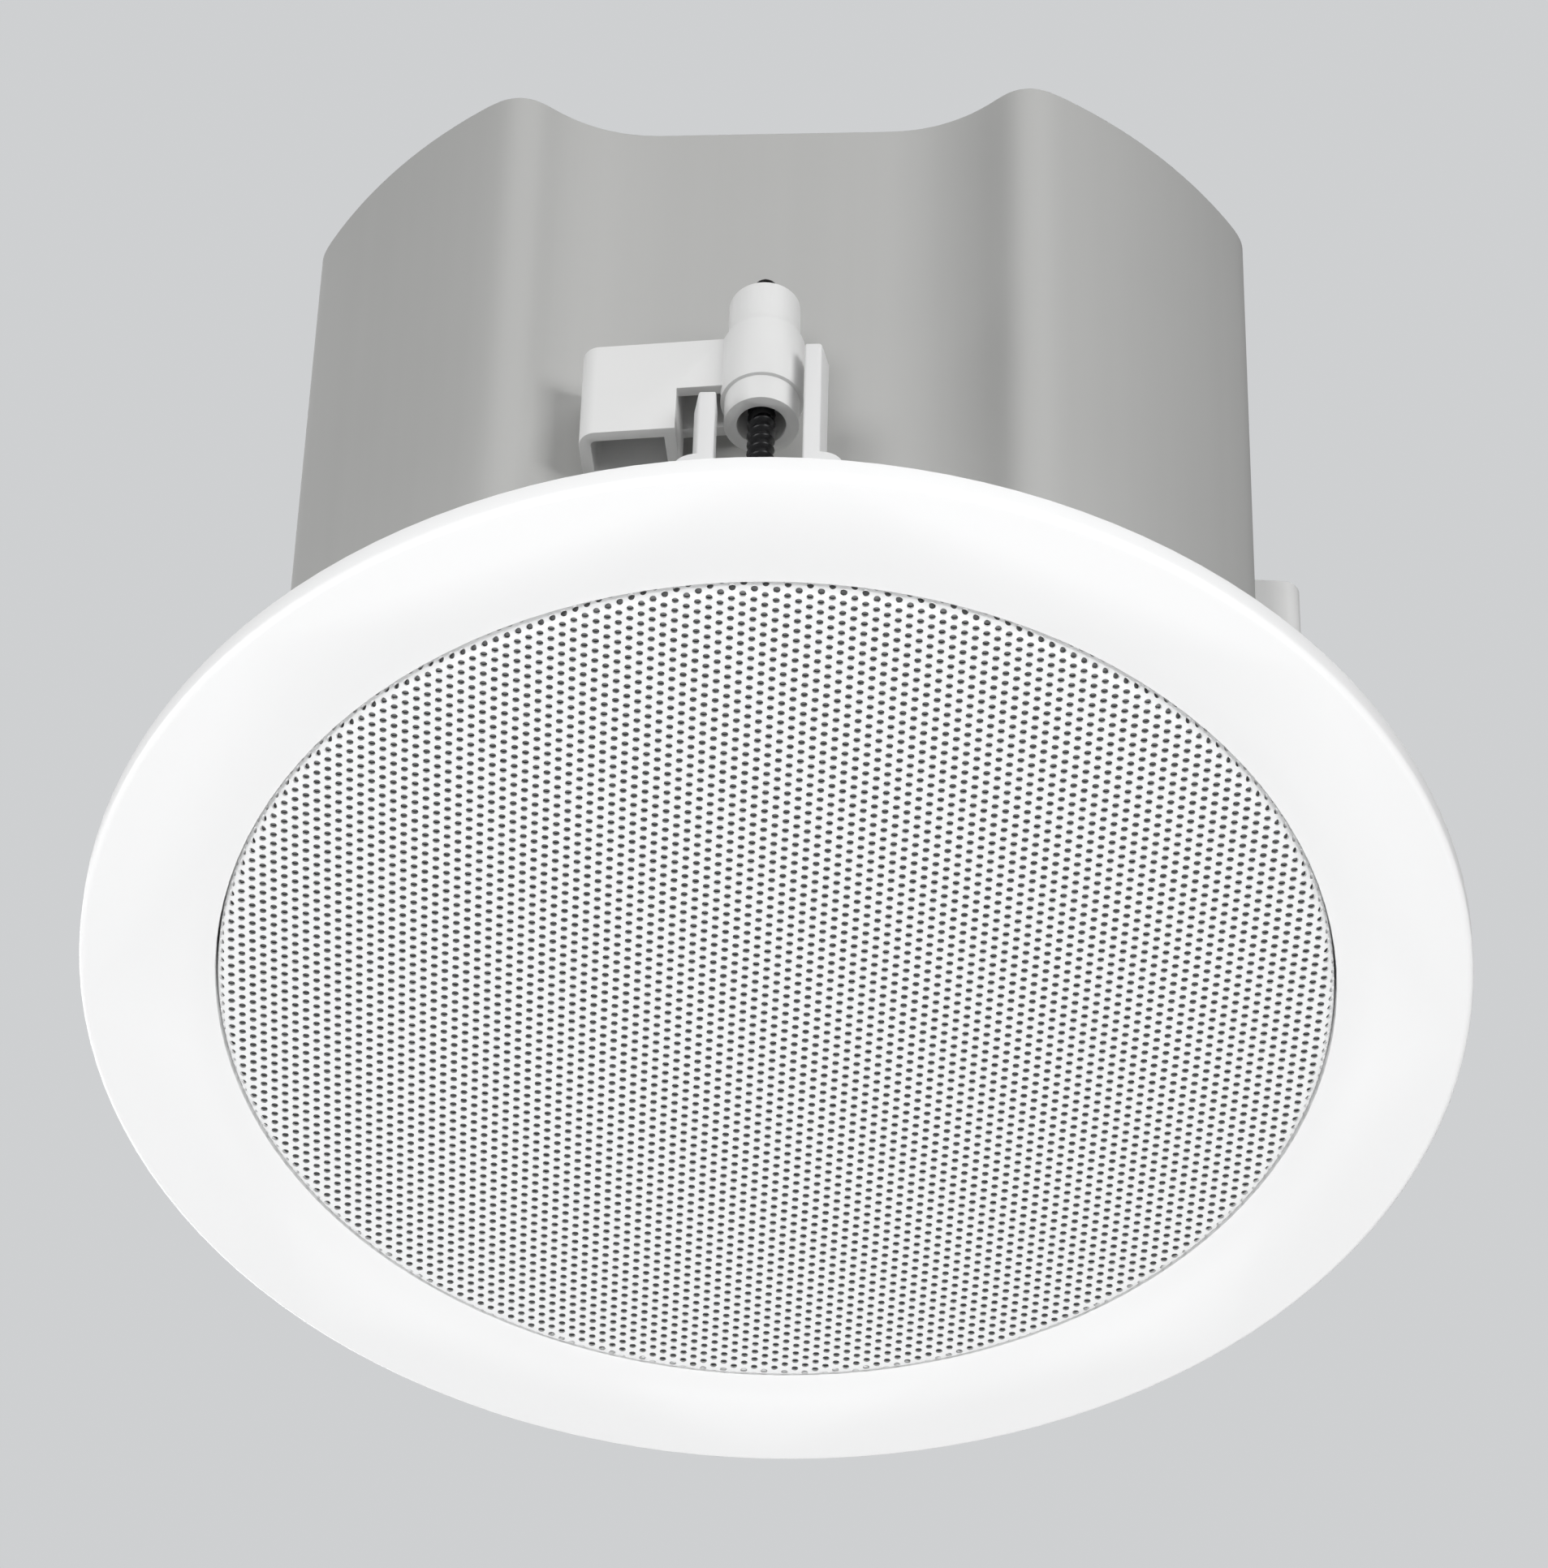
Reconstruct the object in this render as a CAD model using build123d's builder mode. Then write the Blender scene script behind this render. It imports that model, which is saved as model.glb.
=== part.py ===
from build123d import *
import os
from math import pi, tan

os.makedirs("parts", exist_ok=True)

# In-ceiling loudspeaker with a sheet-steel back can and four swing-out clamps, in millimetres.
# The origin is the centre of the flange's back face, which lies against the ceiling.
# +Z points up into the ceiling void and -Z down into the room.

# Ceiling cut-out, the collar that passes it and the flange that covers its edge
CUTOUT_R = 103.0
CUTOUT_CLEARANCE = 3.0
FLANGE_LAP = 17.0
FLANGE_THICK = 4.5
FLANGE_EDGE_BREAK = 0.8
COLLAR_WALL = 3.5
COLLAR_R = CUTOUT_R - CUTOUT_CLEARANCE
BEZEL_R = CUTOUT_R + FLANGE_LAP
OPENING_R = COLLAR_R - COLLAR_WALL
FACE_Z = -FLANGE_THICK

# Baffle plate at the bottom of the grille recess
RECESS_DEPTH = 9.5
PLATE_THICK = 3.0
PLATE_FRONT_Z = FACE_Z + RECESS_DEPTH
PLATE_REAR_Z = PLATE_FRONT_Z + PLATE_THICK

# Grille: a shallow sheet-steel pan, with a coarse stand-in for its fine perforation
GRILLE_GAP = 0.4
GRILLE_SHEET = 0.8
GRILLE_PROUD = 2.5
GRILLE_BEND = 2.6
GRILLE_SEAT_GAP = 0.2
HOLE_PITCH = 20.0
HOLE_ACROSS = 11.2
HOLE_MARGIN = 3.0
SCRIM_THICK = 0.3
GRILLE_R = OPENING_R - GRILLE_GAP
GRILLE_FRONT_Z = FACE_Z - GRILLE_PROUD
GRILLE_BACK_Z = GRILLE_FRONT_Z + GRILLE_SHEET
GRILLE_SKIRT_Z = PLATE_FRONT_Z - GRILLE_SEAT_GAP

# Clamp stations, a quarter turn apart; the first one faces -Y
STATION_COUNT = 4
STATION_STEP = 360 / STATION_COUNT
CLAMP_INSET = 13.6
CLAMP_R = COLLAR_R - CLAMP_INSET
SCREW_AXIS = Axis((0, -CLAMP_R, 0), (0, 0, 1))

# Clamp screw
SCREW_R = 2.4
SCREW_CLEARANCE = 0.25
THREAD_CLEARANCE = 0.1
SCREW_HEAD_R = 4.3
SCREW_HEAD_HEIGHT = 3.0
SCREW_HEAD_GAP = 0.1
SCREW_TIP_PROUD = 6.1
SCREW_HOLE_R = SCREW_R + SCREW_CLEARANCE

# Clamp arm: a hollow paddle, open below, on a bridge beside the threaded hub
ARM_FRONT = 2.8
ARM_DEPTH = 11.4
ARM_WALL = 2.0
ARM_REACH = 31.1
ARM_CORNER_R = 3.0
ARM_ROOT_BREAK = 3.2
PADDLE_LENGTH = 16.7
PADDLE_HEIGHT = 22.4
BRIDGE_HEIGHT = 12.1
NOSE_R = 6.4
NOSE_DROP = 8.0
NOSE_HEIGHT = 5.7
NOSE_BORE_R = 4.2
NOSE_BORE_DEPTH = 5.0
HUB_R = 7.1
SHOULDER_HEIGHT = 2.2
BARREL_R = 6.2
BARREL_TOP_R = 6.1
BARREL_RISE = 10.5
PARK_TURNS = (-3.6, 5.5, 0.0, 0.0)

# Screw boss and guide posts: the hub runs between them, and the arm swings out until it meets the tall one
BOSS_WALL = 3.0
BOSS_HEIGHT = 4.0
SHORT_POST_TOP_Z = 47.9
PARK_GAP = 6.5
POST_WIDTH = 2.9
POST_FLARE = 1.1
POST_DEPTH = 5.0
POST_FRONT = 6.6
POST_TO_HUB = 0.3
STOP_TO_HUB = 0.3
STOP_POST_RISE = 12.1
STOP_POST_CORNER_R = 0.6
BUTTRESS_REACH = 4.3
BUTTRESS_DROP = 15.8

# Heights of the parked arm
BRIDGE_Z = SHORT_POST_TOP_Z + PARK_GAP
ARM_TOP_Z = BRIDGE_Z + BRIDGE_HEIGHT
PADDLE_Z = ARM_TOP_Z - PADDLE_HEIGHT
NOSE_Z = BRIDGE_Z - NOSE_DROP
HUB_Z = NOSE_Z + NOSE_HEIGHT
BARREL_TOP_Z = ARM_TOP_Z + BARREL_RISE
SCREW_TIP_Z = BARREL_TOP_Z + SCREW_TIP_PROUD

# Back can: a round can with a flat-bottomed recess behind each clamp
CAN_SHEET = 1.0
CAN_DEPTH = 132.4
CAN_EDGE_BREAK = 0.4
LOBE_INSET = 3.6
LOBE_CORNER_R = 7.6
CLAMP_TO_CAN = 12.0
RECESS_WIDTH = 100.6
RECESS_FLARE_R = 29.5
TAB_WIDTH = 14.0
LOBE_R = COLLAR_R - LOBE_INSET
CAN_FLAT = CLAMP_R - CLAMP_TO_CAN
CAN_MOUTH_Z = PLATE_REAR_Z
CAN_TOP_Z = CAN_MOUTH_Z + CAN_DEPTH
CAN_ROOF_Z = CAN_TOP_Z - CAN_SHEET

# Woofer basket, pressed from sheet
BASKET_SHEET = 1.2
BASKET_TO_HEAD = 2.6
BASKET_TO_CAN = 1.9
OPENING_CLEARANCE = 1.0
SHELF_DEPTH = 19.0
SHELF_WIDTH = 22.0
BASKET_DEPTH = 26.0
WINDOW_COUNT = 6
WINDOW_LENGTH = 12.0
WINDOW_WIDTH = 34.0
BASKET_R = CLAMP_R - SCREW_HEAD_R - BASKET_TO_HEAD
BASKET_BODY_R = CAN_FLAT - CAN_SHEET - BASKET_TO_CAN
DRIVER_OPENING_R = BASKET_BODY_R + OPENING_CLEARANCE
BASKET_FRONT_Z = PLATE_FRONT_Z - BASKET_SHEET
SHELF_R = BASKET_BODY_R - SHELF_WIDTH
SHELF_Z = PLATE_FRONT_Z + SHELF_DEPTH
BASKET_REAR_Z = PLATE_FRONT_Z + BASKET_DEPTH

# Magnet system: top plate, ring magnet, and yoke with its pole
POLE_R = 12.3
COIL_INNER_GAP = 0.3
COIL_WALL = 0.6
COIL_OUTER_GAP = 0.4
COIL_RUNOUT = 2.0
TOP_PLATE_R = 38.0
TOP_PLATE_THICK = 6.0
MAGNET_R = 42.0
MAGNET_BORE_R = 20.0
MAGNET_THICK = 16.0
YOKE_R = 37.0
YOKE_THICK = 6.0
COIL_R = POLE_R + COIL_INNER_GAP
COIL_OUTER_R = COIL_R + COIL_WALL
PLATE_BORE_R = COIL_OUTER_R + COIL_OUTER_GAP
TOP_PLATE_Z = BASKET_REAR_Z + BASKET_SHEET
MAGNET_Z = TOP_PLATE_Z + TOP_PLATE_THICK
YOKE_Z = MAGNET_Z + MAGNET_THICK

# Cone, its surround and the spider that centres its coil
JOIN_GAP = 0.15
SPIDER_SHEET = 0.6
SPIDER_LIP = 5.0
SURROUND_SHEET = 0.7
SURROUND_WIDTH = 9.0
SURROUND_LIP = 3.0
CONE_WALL = 1.0
CONE_DEPTH = 16.0
SURROUND_R = BASKET_BODY_R - BASKET_SHEET
CONE_R = SURROUND_R - SURROUND_WIDTH - JOIN_GAP
CONE_RIM_Z = BASKET_FRONT_Z - SURROUND_SHEET
CONE_NECK_Z = CONE_RIM_Z + CONE_DEPTH
CONE_NECK_R = COIL_OUTER_R + JOIN_GAP

# Coaxial tweeter on a post that stands on the pole
TWEETER_R = 20.0
TWEETER_HEIGHT = 9.0
TWEETER_TO_SCRIM = 3.0
TWEETER_POST_R = 5.0
TWEETER_Z = GRILLE_BACK_Z + SCRIM_THICK + TWEETER_TO_SCRIM
TWEETER_BACK_Z = TWEETER_Z + TWEETER_HEIGHT

# Crossover, terminal block and tether bracket at the can's roof
BOARD_X = 76.0
BOARD_Y = 44.0
BOARD_THICK = 1.6
SPACER_SIZE = 6.0
SPACER_HEIGHT = 7.0
SPACER_INSET = 5.0
CAPACITOR_X = 12.0
CAPACITOR_Y = 26.0
CAPACITOR_HEIGHT = 18.0
CAPACITOR_CENTRE_X = 18.0
INDUCTOR_X = 26.0
INDUCTOR_Y = 30.0
INDUCTOR_HEIGHT = 14.0
INDUCTOR_SLOT = 6.0
INDUCTOR_CENTRE_X = -16.0
TERMINAL_X = 44.0
TERMINAL_Y = 20.0
TERMINAL_HEIGHT = 15.0
TERMINAL_OFFSET_Y = -28.0
TERMINAL_EDGE_BREAK = 2.0
WIRE_ENTRY_X = 36.0
WIRE_ENTRY_HEIGHT = 6.0
WIRE_ENTRY_DEPTH = 11.0
WIRE_SLOT_X = 30.0
WIRE_SLOT_Y = 8.0
BRACKET_SHEET = 2.0
BRACKET_WIDTH = 18.0
BRACKET_FOOT = 20.0
BRACKET_HEIGHT = 22.0
BRACKET_OFFSET_Y = 34.0
BRACKET_CORNER = 5.0
TETHER_HOLE_R = 4.0
SPACER_Z = CAN_ROOF_Z - SPACER_HEIGHT
BOARD_Z = SPACER_Z - BOARD_THICK


def can_plan(grow):
    """Plan of the lobed can, moved outwards by grow: a disc with a flared flat recess at each station."""
    with BuildSketch() as plan:
        Circle(LOBE_R + grow)
        with PolarLocations(CAN_FLAT + grow + LOBE_R / 2, STATION_COUNT, start_angle=-90):
            RectangleRounded(
                LOBE_R,
                RECESS_WIDTH - 2 * grow,
                RECESS_FLARE_R - grow,
                mode=Mode.SUBTRACT,
            )
        lobe_corners = plan.vertices().filter_by(lambda v: on_circle(v, LOBE_R + grow))
        fillet(lobe_corners, LOBE_CORNER_R + grow)
    return plan.sketch


def on_circle(vertex, radius):
    """Whether a vertex of a plan lies on the circle of that radius."""
    return abs((vertex.X**2 + vertex.Y**2) ** 0.5 - radius) < 1e-4


# Front clamp station of the baffle: screw boss, short post and stop post, each with a buttress
with BuildPart() as station:
    with BuildSketch(Plane.XY.offset(PLATE_REAR_Z)):
        with Locations((0, -CLAMP_R)):
            Circle(SCREW_HOLE_R + BOSS_WALL)
    extrude(amount=BOSS_HEIGHT)
    post_front_y = -CLAMP_R - POST_FRONT
    shoulder_z = SHORT_POST_TOP_Z - BUTTRESS_DROP
    for side, inner_x, top_z in (
        (-1, HUB_R + POST_TO_HUB, SHORT_POST_TOP_Z),
        (1, HUB_R + STOP_TO_HUB, SHORT_POST_TOP_Z + STOP_POST_RISE),
    ):
        outer_x = inner_x + POST_WIDTH
        foot_x = outer_x + BUTTRESS_REACH
        with BuildSketch(Plane.XY.offset(PLATE_REAR_Z)):
            with BuildLine():
                Polyline(
                    (side * inner_x, post_front_y),
                    (side * outer_x, post_front_y),
                    (side * (outer_x + POST_FLARE), post_front_y + POST_DEPTH),
                    (side * inner_x, post_front_y + POST_DEPTH),
                    close=True,
                )
            make_face()
        extrude(amount=top_z - PLATE_REAR_Z)
        with BuildSketch(Plane.XZ.offset(-post_front_y)):
            with BuildLine():
                Polyline(
                    (side * outer_x, shoulder_z),
                    (side * inner_x, shoulder_z),
                    (side * inner_x, PLATE_REAR_Z),
                    (side * foot_x, PLATE_REAR_Z),
                    (side * foot_x, shoulder_z - BUTTRESS_REACH),
                )
                RadiusArc(
                    (side * foot_x, shoulder_z - BUTTRESS_REACH),
                    (side * outer_x, shoulder_z),
                    -side * BUTTRESS_REACH,
                )
            make_face()
        extrude(amount=-POST_DEPTH)
    stop_corner = station.edges().group_by(Axis.Z)[-1].sort_by(Axis.X)[-1]
    fillet(stop_corner, STOP_POST_CORNER_R)

# Bezel and baffle: flange, collar, baffle plate and the clamp stations, moulded as one piece
with BuildPart() as bezel_baffle:
    with BuildSketch(Plane.XZ) as section:
        with BuildLine():
            Polyline(
                (DRIVER_OPENING_R, PLATE_FRONT_Z),
                (OPENING_R, PLATE_FRONT_Z),
                (OPENING_R, FACE_Z),
                (BEZEL_R, FACE_Z),
                (BEZEL_R, 0),
                (COLLAR_R, 0),
                (COLLAR_R, PLATE_REAR_Z),
                (DRIVER_OPENING_R, PLATE_REAR_Z),
                close=True,
            )
        make_face()
        chamfer(section.vertices().group_by(Axis.Y)[0].sort_by(Axis.X)[-1], FLANGE_EDGE_BREAK)
    revolve(axis=Axis.Z)
    for index in range(STATION_COUNT):
        add(station.part.rotate(Axis.Z, index * STATION_STEP))
    with Locations(Plane.XY.offset(PLATE_REAR_Z)):
        with PolarLocations(CLAMP_R, STATION_COUNT, start_angle=-90):
            Hole(SCREW_HOLE_R)
bezel_baffle.part.label = "bezel_baffle"
export_step(bezel_baffle.part, "parts/bezel_baffle.step")

# Grille pan
with BuildPart() as grille:
    bend_in = GRILLE_BEND + GRILLE_SHEET * tan(pi / 8)
    with BuildSketch(Plane.XZ):
        with BuildLine():
            Polyline(
                (0, GRILLE_FRONT_Z),
                (GRILLE_R - GRILLE_BEND, GRILLE_FRONT_Z),
                (GRILLE_R, GRILLE_FRONT_Z + GRILLE_BEND),
                (GRILLE_R, GRILLE_SKIRT_Z),
                (GRILLE_R - GRILLE_SHEET, GRILLE_SKIRT_Z),
                (GRILLE_R - GRILLE_SHEET, GRILLE_FRONT_Z + bend_in),
                (GRILLE_R - bend_in, GRILLE_BACK_Z),
                (0, GRILLE_BACK_Z),
                close=True,
            )
        make_face()
    revolve(axis=Axis.Z)
    column_step = HOLE_PITCH * 3**0.5 / 2
    column_count = int(GRILLE_R / column_step)
    row_count = int(GRILLE_R / HOLE_PITCH) + 1
    hole_limit = GRILLE_R - bend_in - HOLE_MARGIN - HOLE_ACROSS / 2
    centres = [
        (column * column_step, (row + column % 2 / 2) * HOLE_PITCH)
        for column in range(-column_count, column_count + 1)
        for row in range(-row_count, row_count + 1)
    ]
    with BuildSketch(Plane.XY.offset(GRILLE_BACK_Z)):
        with Locations(*[(x, y) for x, y in centres if x**2 + y**2 < hole_limit**2]):
            RegularPolygon(HOLE_ACROSS / 2, 6, major_radius=False)
    extrude(amount=-GRILLE_SHEET, mode=Mode.SUBTRACT)
grille.part.label = "grille"
export_step(grille.part, "parts/grille.step")

# Scrim cloth against the back of the grille
with BuildPart() as grille_scrim:
    with BuildSketch(Plane.XY.offset(GRILLE_BACK_Z)):
        Circle(GRILLE_R - bend_in)
    extrude(amount=SCRIM_THICK)
grille_scrim.part.label = "grille_scrim"
export_step(grille_scrim.part, "parts/grille_scrim.step")

# Back can with its in-turned tabs at the mouth
with BuildPart() as back_can:
    with BuildSketch(Plane.XY.offset(CAN_MOUTH_Z)):
        add(can_plan(0))
    extrude(amount=CAN_DEPTH)
    chamfer(back_can.faces().sort_by(Axis.Z)[-1].edges(), CAN_EDGE_BREAK)
    with BuildSketch(Plane.XY.offset(CAN_MOUTH_Z)):
        add(can_plan(-CAN_SHEET))
    extrude(amount=CAN_DEPTH - CAN_SHEET, mode=Mode.SUBTRACT)
    with BuildSketch(Plane.XY.offset(CAN_MOUTH_Z)):
        add(can_plan(-CAN_SHEET / 2))
        Circle(LOBE_R - CAN_SHEET - TAB_WIDTH, mode=Mode.SUBTRACT)
    extrude(amount=CAN_SHEET)
    with BuildSketch(Plane.XY.offset(CAN_TOP_Z)):
        with Locations((0, TERMINAL_OFFSET_Y)):
            Rectangle(WIRE_SLOT_X, WIRE_SLOT_Y)
    extrude(amount=-CAN_SHEET, mode=Mode.SUBTRACT)
back_can.part.label = "back_can"
export_step(back_can.part, "parts/back_can.step")

# Clamp arm of the front station, square to its screw
with BuildPart() as front_arm:
    with BuildSketch(Plane.XY.offset(PADDLE_Z)) as paddle:
        with Locations((-ARM_REACH, -CLAMP_R - ARM_FRONT)):
            Rectangle(PADDLE_LENGTH, ARM_DEPTH, align=(Align.MIN, Align.MIN))
        fillet(paddle.vertices().group_by(Axis.X)[0], ARM_CORNER_R)
    extrude(amount=PADDLE_HEIGHT)
    with BuildSketch(Plane.XY.offset(BRIDGE_Z)) as bridge:
        with Locations((PADDLE_LENGTH - ARM_REACH, -CLAMP_R - ARM_FRONT)):
            Rectangle(ARM_REACH - PADDLE_LENGTH, ARM_DEPTH, align=(Align.MIN, Align.MIN))
        chamfer(bridge.vertices().group_by(Axis.X)[-1].sort_by(Axis.Y)[-1], ARM_ROOT_BREAK)
    extrude(amount=BRIDGE_HEIGHT)
    with BuildSketch(Plane.XY.offset(PADDLE_Z)) as hollow:
        with Locations((ARM_WALL - ARM_REACH, ARM_WALL - CLAMP_R - ARM_FRONT)):
            Rectangle(
                PADDLE_LENGTH - 2 * ARM_WALL,
                ARM_DEPTH - 2 * ARM_WALL,
                align=(Align.MIN, Align.MIN),
            )
        fillet(hollow.vertices().group_by(Axis.X)[0], ARM_CORNER_R - ARM_WALL)
    extrude(amount=PADDLE_HEIGHT - ARM_WALL, mode=Mode.SUBTRACT)
    with BuildSketch(Plane.XY.offset(BRIDGE_Z)):
        with Locations((PADDLE_LENGTH - ARM_REACH, ARM_WALL - CLAMP_R - ARM_FRONT)):
            Rectangle(
                ARM_REACH - PADDLE_LENGTH,
                ARM_DEPTH - 2 * ARM_WALL,
                align=(Align.MIN, Align.MIN),
            )
    extrude(amount=BRIDGE_HEIGHT - ARM_WALL, mode=Mode.SUBTRACT)
    with BuildSketch(Plane.XZ.offset(CLAMP_R)):
        with BuildLine():
            Polyline(
                (0, NOSE_Z),
                (NOSE_R, NOSE_Z),
                (NOSE_R, HUB_Z),
                (HUB_R, HUB_Z),
                (HUB_R, ARM_TOP_Z),
                (BARREL_R, ARM_TOP_Z + SHOULDER_HEIGHT),
                (BARREL_TOP_R, BARREL_TOP_Z),
                (0, BARREL_TOP_Z),
                close=True,
            )
        make_face()
    revolve(axis=SCREW_AXIS)
    with Locations((0, -CLAMP_R, NOSE_Z + NOSE_BORE_DEPTH)):
        Hole(NOSE_BORE_R, NOSE_BORE_DEPTH)
        Hole(SCREW_R + THREAD_CLEARANCE)

for index in range(STATION_COUNT):
    node = f"clamp_arm_{index + 1}"
    with BuildPart() as clamp_arm:
        parked = front_arm.part.rotate(SCREW_AXIS, PARK_TURNS[index])
        add(parked.rotate(Axis.Z, index * STATION_STEP))
    clamp_arm.part.label = node
    export_step(clamp_arm.part, f"parts/{node}.step")

# Clamp screws, turned from below behind the grille
for index in range(STATION_COUNT):
    node = f"clamp_screw_{index + 1}"
    with BuildPart() as clamp_screw:
        with BuildSketch(Plane.XY.offset(PLATE_FRONT_Z - SCREW_HEAD_GAP)):
            with PolarLocations(CLAMP_R, 1, start_angle=index * STATION_STEP - 90):
                Circle(SCREW_HEAD_R)
        extrude(amount=-SCREW_HEAD_HEIGHT)
        with BuildSketch(Plane.XY.offset(PLATE_FRONT_Z - SCREW_HEAD_GAP)):
            with PolarLocations(CLAMP_R, 1, start_angle=index * STATION_STEP - 90):
                Circle(SCREW_R)
        extrude(amount=SCREW_TIP_Z - PLATE_FRONT_Z + SCREW_HEAD_GAP)
    clamp_screw.part.label = node
    export_step(clamp_screw.part, f"parts/{node}.step")

# Woofer basket, a pressed cup with a rim, and a shelf with windows round its floor
with BuildPart() as woofer_basket:
    with BuildSketch(Plane.XZ):
        with BuildLine():
            Polyline(
                (BASKET_R, PLATE_FRONT_Z),
                (BASKET_BODY_R, PLATE_FRONT_Z),
                (BASKET_BODY_R, SHELF_Z + BASKET_SHEET),
                (SHELF_R, SHELF_Z + BASKET_SHEET),
                (SHELF_R, TOP_PLATE_Z),
                (PLATE_BORE_R, TOP_PLATE_Z),
                (PLATE_BORE_R, BASKET_REAR_Z),
                (SHELF_R - BASKET_SHEET, BASKET_REAR_Z),
                (SHELF_R - BASKET_SHEET, SHELF_Z),
                (BASKET_BODY_R - BASKET_SHEET, SHELF_Z),
                (BASKET_BODY_R - BASKET_SHEET, BASKET_FRONT_Z),
                (BASKET_R, BASKET_FRONT_Z),
                close=True,
            )
        make_face()
    revolve(axis=Axis.Z)
    with BuildSketch(Plane.XY.offset(SHELF_Z)):
        with PolarLocations((SHELF_R + SPIDER_LIP + BASKET_BODY_R) / 2, WINDOW_COUNT):
            Rectangle(WINDOW_LENGTH, WINDOW_WIDTH)
    extrude(amount=BASKET_SHEET, mode=Mode.SUBTRACT)
woofer_basket.part.label = "woofer_basket"
export_step(woofer_basket.part, "parts/woofer_basket.step")

# Surround between the basket's rim and the cone
with BuildPart() as surround:
    with BuildSketch(Plane.XY.offset(BASKET_FRONT_Z)):
        Circle(SURROUND_R + SURROUND_LIP)
        Circle(SURROUND_R - SURROUND_WIDTH, mode=Mode.SUBTRACT)
    extrude(amount=-SURROUND_SHEET)
surround.part.label = "surround"
export_step(surround.part, "parts/surround.step")

# Paper cone
with BuildPart() as cone:
    with BuildSketch(Plane.XZ):
        with BuildLine():
            Polyline(
                (CONE_R, CONE_RIM_Z),
                (CONE_R, CONE_RIM_Z + CONE_WALL),
                (CONE_NECK_R, CONE_NECK_Z + CONE_WALL),
                (CONE_NECK_R, CONE_NECK_Z),
                close=True,
            )
        make_face()
    revolve(axis=Axis.Z)
cone.part.label = "cone"
export_step(cone.part, "parts/cone.step")

# Voice coil on its former, from the cone's neck into the magnet gap
with BuildPart() as voice_coil:
    with BuildSketch(Plane.XY.offset(CONE_NECK_Z)):
        Circle(COIL_OUTER_R)
        Circle(COIL_R, mode=Mode.SUBTRACT)
    extrude(amount=MAGNET_Z + COIL_RUNOUT - CONE_NECK_Z)
voice_coil.part.label = "voice_coil"
export_step(voice_coil.part, "parts/voice_coil.step")

# Spider from the basket's shelf to the coil
with BuildPart() as spider:
    with BuildSketch(Plane.XY.offset(SHELF_Z)):
        Circle(SHELF_R + SPIDER_LIP)
        Circle(COIL_OUTER_R + JOIN_GAP, mode=Mode.SUBTRACT)
    extrude(amount=-SPIDER_SHEET)
spider.part.label = "spider"
export_step(spider.part, "parts/spider.step")

# Front pole plate of the magnet system
with BuildPart() as top_plate:
    with BuildSketch(Plane.XY.offset(TOP_PLATE_Z)):
        Circle(TOP_PLATE_R)
        Circle(PLATE_BORE_R, mode=Mode.SUBTRACT)
    extrude(amount=TOP_PLATE_THICK)
top_plate.part.label = "top_plate"
export_step(top_plate.part, "parts/top_plate.step")

# Ferrite ring magnet
with BuildPart() as magnet:
    with BuildSketch(Plane.XY.offset(MAGNET_Z)):
        Circle(MAGNET_R)
        Circle(MAGNET_BORE_R, mode=Mode.SUBTRACT)
    extrude(amount=MAGNET_THICK)
magnet.part.label = "magnet"
export_step(magnet.part, "parts/magnet.step")

# Yoke: back plate and pole, turned as one piece
with BuildPart() as yoke:
    with BuildSketch(Plane.XY.offset(YOKE_Z)):
        Circle(YOKE_R)
    extrude(amount=YOKE_THICK)
    with BuildSketch(Plane.XY.offset(TOP_PLATE_Z)):
        Circle(POLE_R)
    extrude(amount=YOKE_Z - TOP_PLATE_Z)
yoke.part.label = "yoke"
export_step(yoke.part, "parts/yoke.step")

# Tweeter head on the post that stands on the pole
with BuildPart() as tweeter:
    with BuildSketch(Plane.XY.offset(TWEETER_Z)):
        Circle(TWEETER_R)
    extrude(amount=TWEETER_HEIGHT)
    with BuildSketch(Plane.XY.offset(TWEETER_BACK_Z)):
        Circle(TWEETER_POST_R)
    extrude(amount=TOP_PLATE_Z - TWEETER_BACK_Z)
tweeter.part.label = "tweeter"
export_step(tweeter.part, "parts/tweeter.step")

# Crossover board under the can's roof, its spacers and its two largest components
with BuildPart() as board_spacers:
    with BuildSketch(Plane.XY.offset(SPACER_Z)):
        with GridLocations(BOARD_X - 2 * SPACER_INSET, BOARD_Y - 2 * SPACER_INSET, 2, 2):
            Rectangle(SPACER_SIZE, SPACER_SIZE)
    extrude(amount=SPACER_HEIGHT)
board_spacers.part.label = "board_spacers"
export_step(board_spacers.part, "parts/board_spacers.step")

with BuildPart() as crossover_board:
    with BuildSketch(Plane.XY.offset(BOARD_Z)):
        Rectangle(BOARD_X, BOARD_Y)
    extrude(amount=BOARD_THICK)
crossover_board.part.label = "crossover_board"
export_step(crossover_board.part, "parts/crossover_board.step")

with BuildPart() as capacitor:
    with BuildSketch(Plane.XY.offset(BOARD_Z)):
        with Locations((CAPACITOR_CENTRE_X, 0)):
            Rectangle(CAPACITOR_X, CAPACITOR_Y)
    extrude(amount=-CAPACITOR_HEIGHT)
capacitor.part.label = "capacitor"
export_step(capacitor.part, "parts/capacitor.step")

with BuildPart() as inductor:
    with BuildSketch(Plane.XY.offset(BOARD_Z)):
        with Locations((INDUCTOR_CENTRE_X, 0)):
            Rectangle(INDUCTOR_X, INDUCTOR_Y)
            with GridLocations(INDUCTOR_X, 0, 2, 1):
                Rectangle(INDUCTOR_SLOT, INDUCTOR_Y / 2, mode=Mode.SUBTRACT)
    extrude(amount=-INDUCTOR_HEIGHT)
inductor.part.label = "inductor"
export_step(inductor.part, "parts/inductor.step")

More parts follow.
